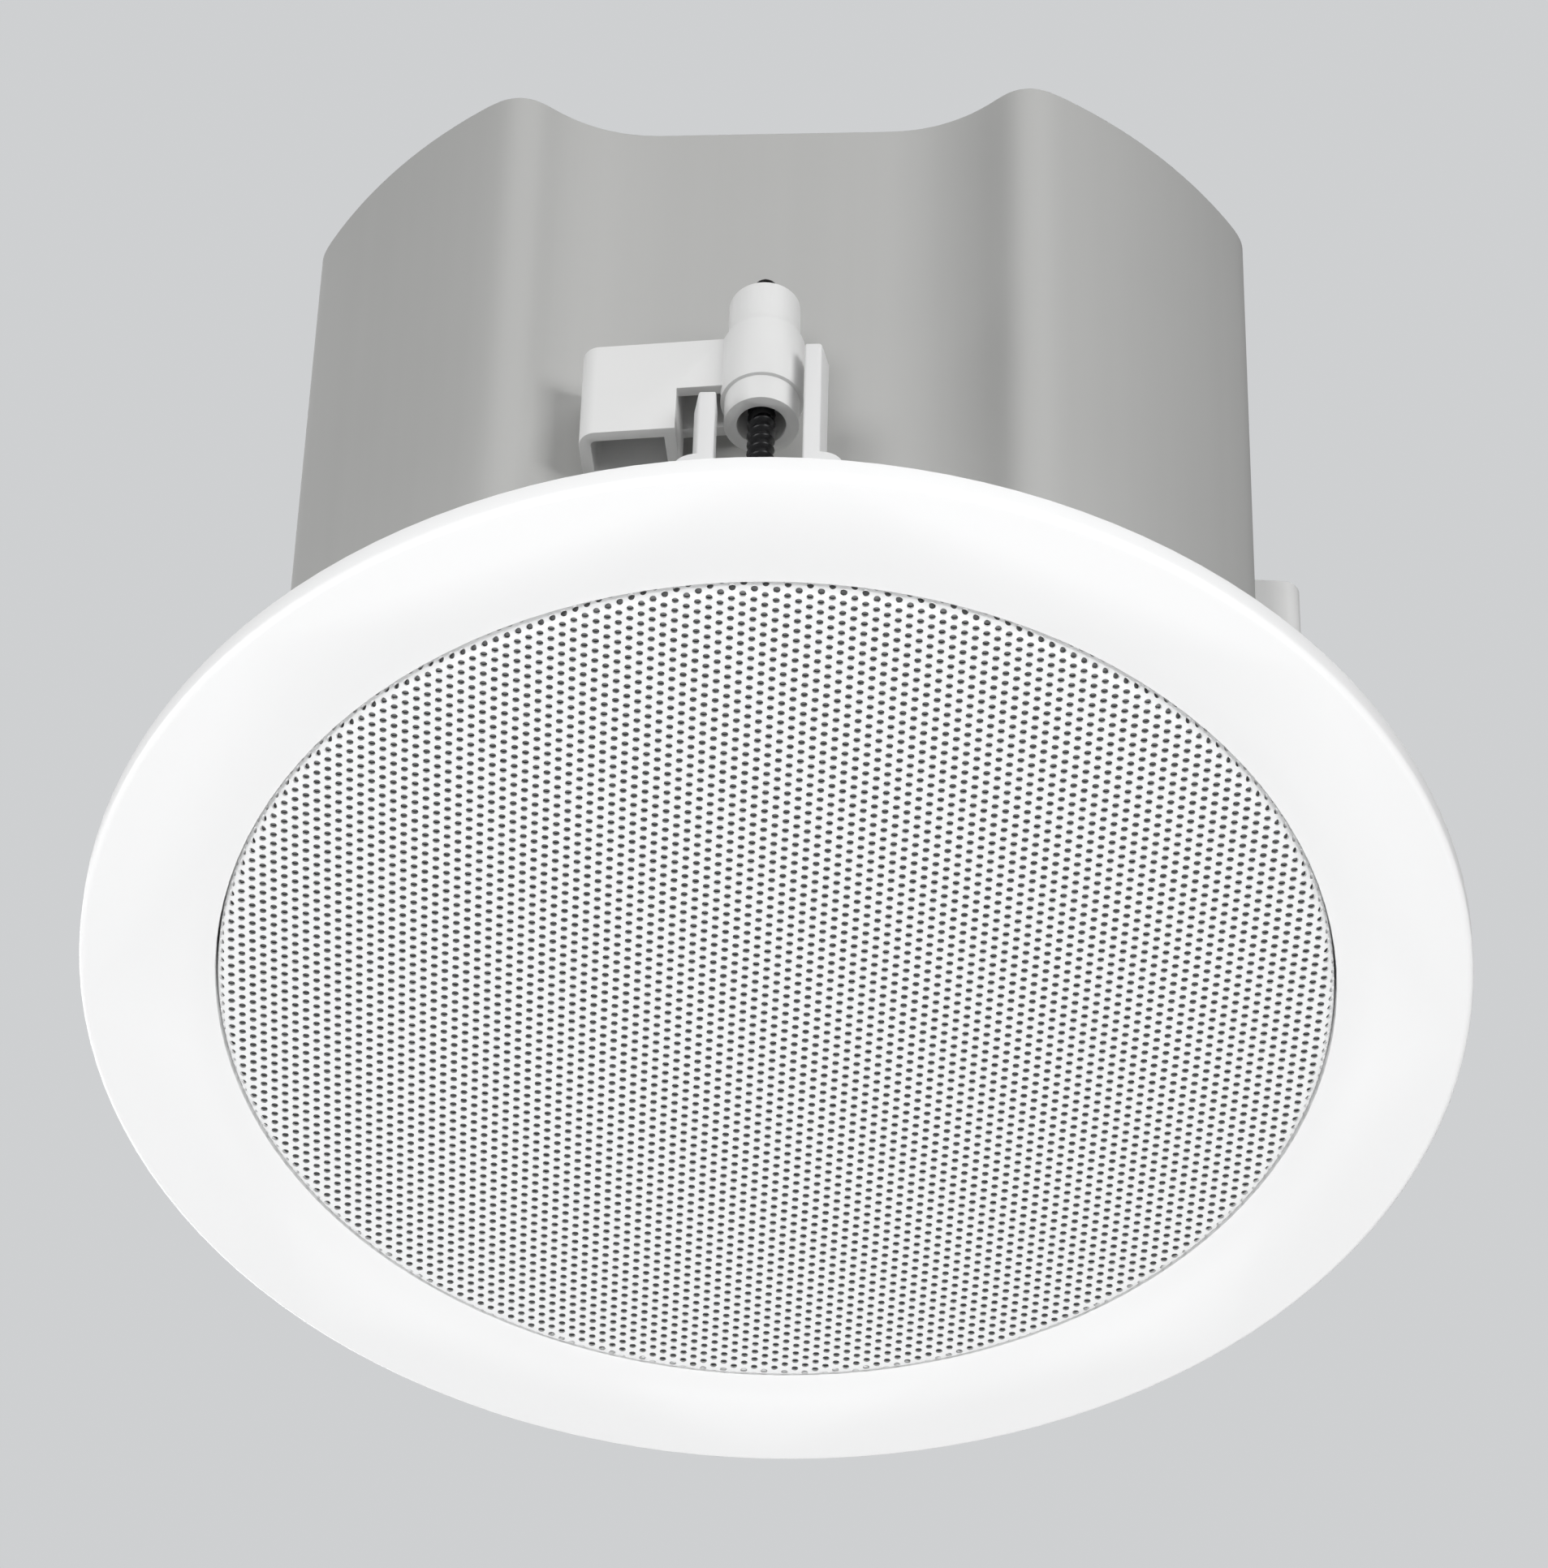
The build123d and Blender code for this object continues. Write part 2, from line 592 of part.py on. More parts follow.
# Terminal block on the can's roof, with one wide entry for the wires
with BuildPart() as terminal_block:
    with BuildSketch(Plane.XY.offset(CAN_TOP_Z)):
        with Locations((0, TERMINAL_OFFSET_Y)):
            Rectangle(TERMINAL_X, TERMINAL_Y)
    extrude(amount=TERMINAL_HEIGHT)
    chamfer(terminal_block.edges().group_by(Axis.Z)[-1], TERMINAL_EDGE_BREAK)
    with BuildSketch(Plane.XZ.offset(TERMINAL_Y / 2 - TERMINAL_OFFSET_Y)):
        with Locations((0, CAN_TOP_Z + TERMINAL_HEIGHT / 2)):
            Rectangle(WIRE_ENTRY_X, WIRE_ENTRY_HEIGHT)
    extrude(amount=-WIRE_ENTRY_DEPTH, mode=Mode.SUBTRACT)
terminal_block.part.label = "terminal_block"
export_step(terminal_block.part, "parts/terminal_block.step")

# Tether bracket: an angle of sheet steel with a hole for the safety line
with BuildPart() as tether_bracket:
    with BuildSketch(Plane.XY.offset(CAN_TOP_Z)):
        with Locations((0, BRACKET_OFFSET_Y)):
            Rectangle(BRACKET_WIDTH, BRACKET_FOOT, align=(Align.CENTER, Align.MIN))
    extrude(amount=BRACKET_SHEET)
    with BuildSketch(Plane.XZ.offset(-BRACKET_OFFSET_Y)) as upright:
        with Locations((0, CAN_TOP_Z)):
            Rectangle(BRACKET_WIDTH, BRACKET_HEIGHT, align=(Align.CENTER, Align.MIN))
        chamfer(upright.vertices().group_by(Axis.Y)[-1], BRACKET_CORNER)
        with Locations((0, CAN_TOP_Z + BRACKET_HEIGHT - BRACKET_WIDTH / 2)):
            Circle(TETHER_HOLE_R, mode=Mode.SUBTRACT)
    extrude(amount=-BRACKET_SHEET)
tether_bracket.part.label = "tether_bracket"
export_step(tether_bracket.part, "parts/tether_bracket.step")
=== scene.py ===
import math
from functools import partial

import bmesh
import bpy
from mathutils import Matrix, Vector
from mathutils.geometry import intersect_sphere_sphere_2d


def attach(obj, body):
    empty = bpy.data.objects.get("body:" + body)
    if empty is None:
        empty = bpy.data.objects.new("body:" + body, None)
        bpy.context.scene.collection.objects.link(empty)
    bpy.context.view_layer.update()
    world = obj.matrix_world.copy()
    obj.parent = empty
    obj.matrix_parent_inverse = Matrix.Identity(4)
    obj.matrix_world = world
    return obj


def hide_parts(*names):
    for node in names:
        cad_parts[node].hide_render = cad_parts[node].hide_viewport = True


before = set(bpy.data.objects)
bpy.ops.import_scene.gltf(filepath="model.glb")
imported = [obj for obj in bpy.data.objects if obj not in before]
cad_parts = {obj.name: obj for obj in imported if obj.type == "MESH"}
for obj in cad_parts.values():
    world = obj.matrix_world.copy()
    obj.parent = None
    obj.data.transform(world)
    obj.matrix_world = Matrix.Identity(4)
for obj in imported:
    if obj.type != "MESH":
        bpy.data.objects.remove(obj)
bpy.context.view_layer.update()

MM = 0.001
HOUSING = "housing"
STATIONS = 4

# Sizes in millimetres, as in the solids that these pieces dress

# Rounded edges of the mouldings
BEZEL_EDGE = 0.35
CLAMP_EDGE = 0.3
TERMINAL_EDGE = 0.4
BRACKET_EDGE = 0.3
EDGE_SEGMENTS = 2

# Clamp screws
CLAMP_R = 86.4
SCREW_R = 2.4
SCREW_ROOT_R = 1.72
SCREW_PITCH = 2.25
SCREW_SIDES = 20
SCREW_POINT = 1.2
SCREW_END_R = 2.0
SCREW_TIP_Z = 83.1
SCREW_HEAD_R = 4.3
SCREW_HEAD_LOW_Z = 1.9
SCREW_HEAD_HIGH_Z = 4.9
SCREW_HEAD_EASE = 0.2
SCREW_HEAD_SIDES = 28
CREST_EASE = 0.1

# One turn of the thread: share of the pitch, radius
THREAD_PROFILE = (
    (0.0, SCREW_ROOT_R), (0.3, SCREW_ROOT_R),
    (0.5, SCREW_R - CREST_EASE), (0.6, SCREW_R), (0.7, SCREW_R - CREST_EASE),
)

# Face of the screw's head: radius, height above its lowest point
SCREW_HEAD_DOME = ((0.0, 0.0), (2.4, 0.15), (3.6, 0.7), (SCREW_HEAD_R, 1.7))

# Rounded end of the screw: way in from its side, way down from its tip
SCREW_TIP_ROUND = ((0.0, 0.5), (0.2, 0.15), (0.5, 0.0))

# Grille and scrim
GRILLE_R = 96.1
GRILLE_FRONT_Z = -7.0
GRILLE_SHEET = 0.8
GRILLE_BEND_R = 1.7
GRILLE_FLAT_R = GRILLE_R - GRILLE_BEND_R
GRILLE_SKIRT_Z = 4.8
GRILLE_DOME = 1.6
GRILLE_DOME_POWER = 2.5
SHEET_PAST_BEND = 1.2
SKIRT_PAST_BEND = 0.6
HOLE_PITCH = 2.12
HOLE_R = 0.61
HOLE_WALL = 0.4
HOLE_TURN = math.radians(4.6)
CELL_SIDES = 6
HOLE_SIDES = 2 * CELL_SIDES
CELL_GAP = 0.02
GRID_COLUMNS = 113
GRID_ROWS = 101
SCRIM_BEND_R = GRILLE_BEND_R - GRILLE_SHEET
SCRIM_SHEET = 0.3
SCRIM_HEM = 1.8
SCRIM_STEPS = 24
BEND_STEPS = 6
RIM_SIDES = 192

# Can
CAN_LOW_Z = 8.0
CAN_TOP_Z = 140.4
CAN_SHEET = 1.0
CAN_FLAT = 74.4
CAN_STEP = 0.7
CAN_EASE_PASSES = 12
CAN_EDGE_R = 0.5
CAN_EDGE_TURNS = (0, 30, 60, 90)
LOBE_R = 96.4
LOBE_CORNER_R = 7.6
RECESS_WIDTH = 100.6
RECESS_FLARE_R = 29.5
TAB_WIDTH = 14.0
WIRE_SLOT = (30.0, 8.0)
WIRE_SLOT_Y = -28.0

# Fasteners on the can's roof; a head's profile is share of its radius, share of its height
TERMINAL_TOP_Z = 155.4
BRACKET_FOOT_Z = 142.4
SMALL_HEAD = (2.6, 1.5)
WIDE_HEAD = (3.4, 2.0)
HEAD_SIDES = 16
HEAD_PROFILE = ((1.0, 0.0), (1.0, 0.35), (0.86, 0.8), (0.66, 1.0))
CROSS_REACH = 0.48
CROSS_HALF_WIDTH = 0.14
CROSS_TAPER = 0.7
CROSS_FLOOR = 0.35

# Lap seam on the back of the can, and its spot welds
SEAM_TURN = math.radians(50)
SEAM_HALF_ANGLE = math.radians(4.2)
SEAM_STEPS = 12
SEAM_PROUD = 0.6
SEAM_SUNK = 0.3
SEAM_SIDE_EASE = 0.25
SEAM_END_EASE = (0.2, 0.3)
SEAM_LOW_Z = CAN_LOW_Z + 1.0
SEAM_HIGH_Z = CAN_TOP_Z - 3.0
WELD_BUTTON = (1.8, 0.25)
WELD_SIDES = 12
WELD_PROFILE = ((1.0, 0.0), (0.85, 0.8), (0.55, 0.55), (0.2, 0.4))
WELD_COUNT = 8
WELD_LOW_Z = 20.0
WELD_STEP = 15.0

# Painted shade behind the bezel's face, grain and streaks
SHADE_START_Z = 0.2
SHADE_FADE = 1.5
NOISE_MIDDLE = 0.5
GLOSS_FINENESS = 3.7
BROAD_FINENESS = 0.31
PIT_SHARE = 0.6
GRAIN_STRENGTH = 0.35
STREAK_SPREAD = 0.04

# Angles in degrees that tell edges from curves, and how upright the normal of a level face is
EDGE_ANGLE = 32.0
ROUND_EDGE_ANGLE = 40.0
CORNER_ANGLE = 28.0
FLAT_ANGLE = 0.4
LEVEL_NORMAL = 0.999

# Distances in metres under which points count as one
SOLID_MERGE = 1e-6
PIECE_MERGE = 1e-7
SLIVER = 1e-8
LEAST_REACH = 1e-6


# Node trees

def link(tree, output, target):
    tree.links.new(output, target)


def feed(tree, value, target):
    """Sets an input to a number, or links it to another node's output."""
    if isinstance(value, (int, float)):
        target.default_value = value
    else:
        link(tree, value, target)


def math_node(tree, operation, first, second=None):
    """A Math node whose inputs are numbers or sockets; returns its output."""
    node = tree.nodes.new("ShaderNodeMath")
    node.operation = operation
    feed(tree, first, node.inputs[0])
    if second is not None:
        feed(tree, second, node.inputs[1])
    return node.outputs[0]


def split_xyz(tree, vector):
    node = tree.nodes.new("ShaderNodeSeparateXYZ")
    link(tree, vector, node.inputs[0])
    return node.outputs


def join_xyz(tree, x, y, z):
    node = tree.nodes.new("ShaderNodeCombineXYZ")
    for value, target in zip((x, y, z), node.inputs):
        feed(tree, value, target)
    return node.outputs[0]


# Shader groups that the finishes share

def shader_group(name, inputs, outputs):
    """A shader node group with float inputs and float outputs; returns the tree and its two ends."""
    tree = bpy.data.node_groups.new(name, "ShaderNodeTree")
    for label, value in inputs:
        socket = tree.interface.new_socket(label, in_out="INPUT", socket_type="NodeSocketFloat")
        socket.default_value = value
    for label in outputs:
        tree.interface.new_socket(label, in_out="OUTPUT", socket_type="NodeSocketFloat")
    start = tree.nodes.new("NodeGroupInput")
    end = tree.nodes.new("NodeGroupOutput")
    return tree, start, end


def object_place(tree):
    """Where a point of the piece is, in the piece's own space."""
    return tree.nodes.new("ShaderNodeTexCoord").outputs["Object"]


def noise(tree, scale, place, detail):
    """A noise texture at a place; its scale is a number or a socket."""
    node = tree.nodes.new("ShaderNodeTexNoise")
    node.inputs["Detail"].default_value = detail
    feed(tree, scale, node.inputs["Scale"])
    link(tree, place, node.inputs["Vector"])
    return node.outputs["Fac"]


def even_noise(tree, scale, place, detail):
    """Noise that goes as far below 0 as above it."""
    return math_node(tree, "SUBTRACT", noise(tree, scale, place, detail), NOISE_MIDDLE)


def make_tone_group():
    """Slow, faint change of tone and gloss over a finish."""
    inputs = (("Scale", 20.0), ("Tone Spread", 0.03), ("Gloss Spread", 0.05))
    tree, start, end = shader_group("slow_tone", inputs, ("Tone", "Gloss"))
    place = object_place(tree)
    wide = even_noise(tree, start.outputs["Scale"], place, detail=3.0)
    tone = math_node(tree, "MULTIPLY", wide, start.outputs["Tone Spread"])
    link(tree, math_node(tree, "ADD", tone, 1.0), end.inputs["Tone"])
    close_scale = math_node(tree, "MULTIPLY", start.outputs["Scale"], GLOSS_FINENESS)
    close = even_noise(tree, close_scale, place, detail=4.0)
    gloss = math_node(tree, "MULTIPLY", close, start.outputs["Gloss Spread"])
    link(tree, gloss, end.inputs["Gloss"])
    return tree


def make_grain_group():
    """Fine orange-peel or spark-eroded grain, as a height."""
    tree, start, end = shader_group("fine_grain", (("Scale", 1500.0),), ("Height",))
    place = object_place(tree)
    pits = noise(tree, start.outputs["Scale"], place, detail=2.0)
    broad_scale = math_node(tree, "MULTIPLY", start.outputs["Scale"], BROAD_FINENESS)
    broad = noise(tree, broad_scale, place, detail=1.0)
    pit_height = math_node(tree, "MULTIPLY", pits, PIT_SHARE)
    broad_height = math_node(tree, "MULTIPLY", broad, 1 - PIT_SHARE)
    link(tree, math_node(tree, "ADD", pit_height, broad_height), end.inputs["Height"])
    return tree


TONE_GROUP = make_tone_group()
GRAIN_GROUP = make_grain_group()


# Finishes

def streaks(tree, stretch):
    """Faint streaks of tone: noise squeezed by its scale on each axis."""
    mapping = tree.nodes.new("ShaderNodeMapping")
    mapping.inputs["Scale"].default_value = stretch
    link(tree, object_place(tree), mapping.inputs["Vector"])
    uneven = even_noise(tree, 1.0, mapping.outputs["Vector"], detail=3.0)
    return math_node(tree, "MULTIPLY", uneven, STREAK_SPREAD)


def painted_shade_behind(tree, shade_behind):
    """1 on the front, falling to the given share above the face's edge: painted shade on the back and the
    posts.
    """
    behind = tree.nodes.new("ShaderNodeMapRange")
    behind.inputs["From Min"].default_value = SHADE_START_Z * MM
    behind.inputs["From Max"].default_value = (SHADE_START_Z + SHADE_FADE) * MM
    behind.inputs["To Min"].default_value = 1.0
    behind.inputs["To Max"].default_value = shade_behind
    link(tree, split_xyz(tree, object_place(tree))["Z"], behind.inputs["Value"])
    return behind.outputs["Result"]


def finish_material(name, colour, roughness, metallic=0.0, tone=(20.0, 0.03, 0.06),
                    grain=(1500.0, 0.02), stretch=None, shade_behind=None):
    """A finish with slow tone changes and a fine grain.

    tone is a scale, a spread of tone and a spread of gloss; grain is a scale and a depth in millimetres.
    stretch adds streaks; the last argument is the share of the tone kept above the face's edge, a painted
    shade on the back.
    """
    material = bpy.data.materials.new(name)
    material.use_nodes = True
    tree = material.node_tree
    shader = tree.nodes["Principled BSDF"]
    shader.inputs["Metallic"].default_value = metallic
    slow = tree.nodes.new("ShaderNodeGroup")
    slow.node_tree = TONE_GROUP
    for label, value in zip(("Scale", "Tone Spread", "Gloss Spread"), tone):
        slow.inputs[label].default_value = value
    tone_value = slow.outputs["Tone"]
    if stretch:
        tone_value = math_node(tree, "ADD", tone_value, streaks(tree, stretch))
    # Painted shade: darker above the bezel's face
    if shade_behind:
        tone_value = math_node(tree, "MULTIPLY", tone_value, painted_shade_behind(tree, shade_behind))
    tint = tree.nodes.new("ShaderNodeVectorMath")
    tint.operation = "SCALE"
    tint.inputs[0].default_value = colour
    link(tree, tone_value, tint.inputs["Scale"])
    link(tree, tint.outputs["Vector"], shader.inputs["Base Color"])
    link(tree, math_node(tree, "ADD", slow.outputs["Gloss"], roughness), shader.inputs["Roughness"])
    fine = tree.nodes.new("ShaderNodeGroup")
    fine.node_tree = GRAIN_GROUP
    grain_scale, grain_depth = grain
    fine.inputs["Scale"].default_value = grain_scale
    bump = tree.nodes.new("ShaderNodeBump")
    bump.inputs["Strength"].default_value = GRAIN_STRENGTH
    bump.inputs["Distance"].default_value = grain_depth * MM
    link(tree, fine.outputs["Height"], bump.inputs["Height"])
    link(tree, bump.outputs["Normal"], shader.inputs["Normal"])
    return material


# The back and the posts are painted darker than the face: painted shade
WHITE_MOULDING = finish_material(
    "white_moulding", (0.88, 0.88, 0.88), 0.42, tone=(14.0, 0.02, 0.06), shade_behind=0.8)
WHITE_POWDER_COAT = finish_material(
    "white_powder_coat", (0.88, 0.885, 0.885), 0.40, grain=(2600.0, 0.02))
CAN_COATING = finish_material(
    "grey_can_coating", (0.47, 0.47, 0.46), 0.48, metallic=0.3, tone=(9.0, 0.05, 0.08),
    grain=(900.0, 0.015), stretch=(260.0, 260.0, 3.0))
CLAMP_MOULDING = finish_material(
    "pale_clamp_moulding", (0.71, 0.71, 0.705), 0.40, tone=(60.0, 0.02, 0.06))
BLACK_SCREW = finish_material(
    "black_oxide_screw", (0.018, 0.018, 0.019), 0.34, metallic=0.6, tone=(300.0, 0.3, 0.15))
ZINC_SCREW = finish_material(
    "zinc_screw", (0.62, 0.61, 0.58), 0.30, metallic=0.95, tone=(400.0, 0.1, 0.1))
SCRIM_CLOTH = finish_material(
    "scrim_cloth", (0.29, 0.292, 0.295), 0.92, tone=(700.0, 0.5, 0.05), grain=(5000.0, 0.06))
BLACK_MOULDING = finish_material(
    "black_moulding", (0.022, 0.022, 0.023), 0.48, tone=(90.0, 0.2, 0.08))
BLACK_PAINT = finish_material(
    "black_basket_paint", (0.02, 0.02, 0.021), 0.38, tone=(60.0, 0.2, 0.1))
SURROUND_RUBBER = finish_material(
    "surround_rubber", (0.016, 0.016, 0.017), 0.62, tone=(120.0, 0.25, 0.1))
CONE_PLASTIC = finish_material(
    "woven_cone", (0.045, 0.046, 0.05), 0.45, tone=(200.0, 0.3, 0.1), grain=(1200.0, 0.05))
SPIDER_CLOTH = finish_material(
    "treated_cloth", (0.42, 0.29, 0.13), 0.85, tone=(500.0, 0.3, 0.05), grain=(2500.0, 0.08))
BARE_ALUMINIUM = finish_material(
    "bare_aluminium", (0.72, 0.72, 0.73), 0.32, metallic=1.0, tone=(150.0, 0.08, 0.1))
PLATED_STEEL = finish_material(
    "plated_steel", (0.58, 0.57, 0.54), 0.35, metallic=0.95, tone=(80.0, 0.1, 0.12))
FERRITE = finish_material(
    "ferrite", (0.06, 0.06, 0.065), 0.66, tone=(120.0, 0.2, 0.1), grain=(700.0, 0.06))
NYLON = finish_material(
    "natural_nylon", (0.74, 0.73, 0.68), 0.45, tone=(150.0, 0.05, 0.08))
BOARD_LACQUER = finish_material(
    "board_lacquer", (0.03, 0.13, 0.05), 0.30, tone=(160.0, 0.25, 0.08))
FILM_CASE = finish_material(
    "film_case", (0.30, 0.035, 0.03), 0.28, tone=(90.0, 0.1, 0.08))
ENAMELLED_COPPER = finish_material(
    "enamelled_copper", (0.48, 0.17, 0.06), 0.30, metallic=0.8, tone=(300.0, 0.2, 0.1))


# Meshes

def add_object(name, data):
    """Puts a mesh, light or camera into the scene."""
    thing = bpy.data.objects.new(name, data)
    bpy.context.scene.collection.objects.link(thing)
    return thing


def add_piece(name, mesh, material):
    """Puts a finished mesh into the scene as an object at the origin."""
    mesh.materials.clear()
    mesh.materials.append(material)
    return add_object(name, mesh)


def smooth(mesh, angle=EDGE_ANGLE):
    """Smooth shading, with sharp edges where faces meet at more than the angle."""
    mesh.shade_smooth()
    mesh.set_sharp_from_angle(angle=math.radians(angle))


def dressed_copy(name, node, material, edge):
    """A merged copy of a solid with its edges rounded."""
    shape = bmesh.new()
    shape.from_mesh(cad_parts[node].data)
    bmesh.ops.remove_doubles(shape, verts=shape.verts, dist=SOLID_MERGE)
    bmesh.ops.dissolve_limit(
        shape, angle_limit=math.radians(FLAT_ANGLE), verts=shape.verts, edges=shape.edges)
    joined = [e for e in shape.edges if len(e.link_faces) == 2]
    corners = [e for e in joined if e.calc_face_angle(0.0) > math.radians(CORNER_ANGLE)]
    bmesh.ops.bevel(
        shape, geom=corners, offset=edge * MM, offset_type="OFFSET", segments=EDGE_SEGMENTS,
        profile=0.5, affect="EDGES", clamp_overlap=True)
    mesh = bpy.data.meshes.new(name)
    shape.to_mesh(mesh)
    shape.free()
    smooth(mesh)
    return add_piece(name, mesh, material)


def mesh_from(name, shape):
    """Closes a bmesh into a mesh with faces that point outwards."""
    bmesh.ops.remove_doubles(shape, verts=shape.verts, dist=PIECE_MERGE)
    bmesh.ops.dissolve_degenerate(shape, edges=shape.edges, dist=SLIVER)
    bmesh.ops.recalc_face_normals(shape, faces=shape.faces)
    mesh = bpy.data.meshes.new(name)
    shape.to_mesh(mesh)
    shape.free()
    return mesh


def polar(radius, angle, height, centre=(0.0, 0.0)):
    """A point in metres, from millimetres about an upright axis."""
    x = centre[0] + radius * math.cos(angle)
    y = centre[1] + radius * math.sin(angle)
    return x * MM, y * MM, height * MM


def round_ring(shape, radius, sides, height):
    """Vertices on a level circle about Z."""
    return [shape.verts.new(polar(radius, 2 * math.pi * k / sides, height)) for k in range(sides)]


def bridge(shape, low, high):
    """Faces between two closed rings with as many vertices."""
    for k in range(len(low)):
        shape.faces.new((low[k - 1], low[k], high[k], high[k - 1]))


def closed_strip(shape, rows):
    """Joins equal rows of vertices into a bar with closed ends."""
    sides = len(rows[0])
    for here, there in zip(rows, rows[1:]):
        for k in range(sides):
            after = (k + 1) % sides
            shape.faces.new((here[k], there[k], there[after], here[after]))
    shape.faces.new(rows[0])
    shape.faces.new(rows[-1][::-1])


def lathe(shape, outline, segments, centre=(0.0, 0.0)):
    """Turns a closed outline of (radius, height) in millimetres about an upright axis."""
    columns = []
    for step in range(segments):
        angle = 2 * math.pi * step / segments
        columns.append([shape.verts.new(polar(r, angle, z, centre)) for r, z in outline])
    for step in range(segments):
        here, there = columns[step], columns[(step + 1) % segments]
        for index in range(len(outline)):
            after = (index + 1) % len(outline)
            shape.faces.new((here[index], there[index], there[after], here[after]))


# Bezel, clamp arms, terminal block and bracket

bezel = dressed_copy("bezel_moulding", "bezel_baffle", WHITE_MOULDING, BEZEL_EDGE)
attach(bezel, HOUSING)
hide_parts("bezel_baffle")

for number in range(1, STATIONS + 1):
    arm = dressed_copy(f"clamp_moulding_{number}", f"clamp_arm_{number}", CLAMP_MOULDING, CLAMP_EDGE)
    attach(arm, f"clamp_arm_{number}")
    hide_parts(f"clamp_arm_{number}")

terminal = dressed_copy("terminal_moulding", "terminal_block", BLACK_MOULDING, TERMINAL_EDGE)
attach(terminal, HOUSING)
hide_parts("terminal_block")

bracket = dressed_copy("tether_angle", "tether_bracket", PLATED_STEEL, BRACKET_EDGE)
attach(bracket, HOUSING)
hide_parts("tether_bracket")


# Can: its sheet follows the solid's plan, with the bends eased as in pressed sheet

def arc_points(centre, radius, start, end, length):
    """Points along an arc, its end left out, as many as fit the length."""
    count = max(2, round(length / CAN_STEP))
    angles = (start + (end - start) * k / count for k in range(count))
    return [(centre[0] + radius * math.cos(a), centre[1] + radius * math.sin(a)) for a in angles]


def can_plan(inset):
    """Plan of the can, moved inwards: a flat flared recess at each clamp and a lobe between each two.

    Half of one recess and half of a lobe are worked out, then mirrored, turned to each station and eased.
    """
    flare = Vector((RECESS_WIDTH / 2 - RECESS_FLARE_R, CAN_FLAT + RECESS_FLARE_R))
    centres = intersect_sphere_sphere_2d(
        Vector((0, 0)), LOBE_R - LOBE_CORNER_R, flare, RECESS_FLARE_R + LOBE_CORNER_R)
    corner = max(centres, key=lambda centre: centre.x)
    meet = math.atan2(corner.y - flare.y, corner.x - flare.x)
    leave = math.atan2(corner.y, corner.x)
    middle = math.pi / STATIONS
    flare_length = RECESS_FLARE_R * (meet + math.pi / 2)
    corner_length = LOBE_CORNER_R * (meet + math.pi - leave)
    flat_steps = round(flare.x / CAN_STEP)
    half = [(flare.x * k / flat_steps, CAN_FLAT - inset) for k in range(flat_steps)]
    half += arc_points(flare, RECESS_FLARE_R + inset, -math.pi / 2, meet, flare_length)
    half += arc_points(corner, LOBE_CORNER_R - inset, meet + math.pi, leave, corner_length)
    half += arc_points((0, 0), LOBE_R - inset, leave, middle, LOBE_R * (leave - middle))
    lobe_end = ((LOBE_R - inset) * math.cos(middle), (LOBE_R - inset) * math.sin(middle))
    span = [(-along, out) for along, out in half[:0:-1]] + half + [lobe_end]
    plan = []
    for station in range(STATIONS):
        turn = Matrix.Rotation(2 * math.pi * station / STATIONS, 2)
        plan += [turn @ Vector((along, -out)) for along, out in span]
    for _ in range(CAN_EASE_PASSES):
        plan = [(plan[k - 1] + 2 * plan[k] + plan[(k + 1) % len(plan)]) / 4 for k in range(len(plan))]
    return plan


def level_ring(shape, plan, height):
    """Vertices along a plan at a height, with the edges of their loop."""
    ring = [shape.verts.new((x * MM, y * MM, height * MM)) for x, y in plan]
    edges = [shape.edges.new((ring[k - 1], ring[k])) for k in range(len(ring))]
    return ring, edges


def add_tabs(shape):
    """Tabs turned in at the can's mouth, one along each lobe."""
    low_z, high_z = CAN_LOW_Z, CAN_LOW_Z + CAN_SHEET
    tab_r = LOBE_R - CAN_SHEET - TAB_WIDTH
    plan = can_plan(CAN_SHEET / 2)
    quarter = len(plan) // STATIONS
    for station in range(STATIONS):
        first = quarter * station + quarter // 2
        lobe = [plan[(first + k) % len(plan)] for k in range(quarter)]
        rows = []
        for out in (point for point in lobe if point.length > tab_r):
            back = out.normalized() * tab_r
            section = ((back, low_z), (out, low_z), (out, high_z), (back, high_z))
            rows.append([shape.verts.new((x * MM, y * MM, z * MM)) for (x, y), z in section])
        closed_strip(shape, rows)


def can_shell():
    """The can as one sheet: wall, rounded edge, roof with the slot for the wires, and tabs."""
    shape = bmesh.new()
    roof_z = CAN_TOP_Z - CAN_SHEET
    outer_levels = [(0.0, CAN_LOW_Z)]
    for degrees in CAN_EDGE_TURNS:
        rise = math.radians(degrees)
        inset = CAN_EDGE_R * (1 - math.cos(rise))
        outer_levels.append((inset, CAN_TOP_Z - CAN_EDGE_R * (1 - math.sin(rise))))
    outer = [level_ring(shape, can_plan(inset), height) for inset, height in outer_levels]
    inner = [level_ring(shape, can_plan(CAN_SHEET), height) for height in (roof_z, CAN_LOW_Z)]
    half_x, half_y = WIRE_SLOT[0] / 2, WIRE_SLOT[1] / 2
    corners = ((-half_x, -half_y), (half_x, -half_y), (half_x, half_y), (-half_x, half_y))
    slot_plan = [(x, WIRE_SLOT_Y + y) for x, y in corners]
    slot = [level_ring(shape, slot_plan, height) for height in (CAN_TOP_Z, roof_z)]
    for (low, _), (high, _) in zip(outer, outer[1:]):
        bridge(shape, low, high)
    bridge(shape, inner[0][0], inner[1][0])
    bridge(shape, inner[1][0], outer[0][0])
    bridge(shape, slot[0][0], slot[1][0])
    bmesh.ops.triangle_fill(shape, use_beauty=True, edges=outer[-1][1] + slot[0][1])
    bmesh.ops.triangle_fill(shape, use_beauty=True, edges=inner[0][1] + slot[1][1])
    add_tabs(shape)
    mesh = mesh_from("can_shell", shape)
    smooth(mesh)
    for face in mesh.polygons:
        face.use_smooth = abs(face.normal.z) < LEVEL_NORMAL
    return add_piece("can_shell", mesh, CAN_COATING)


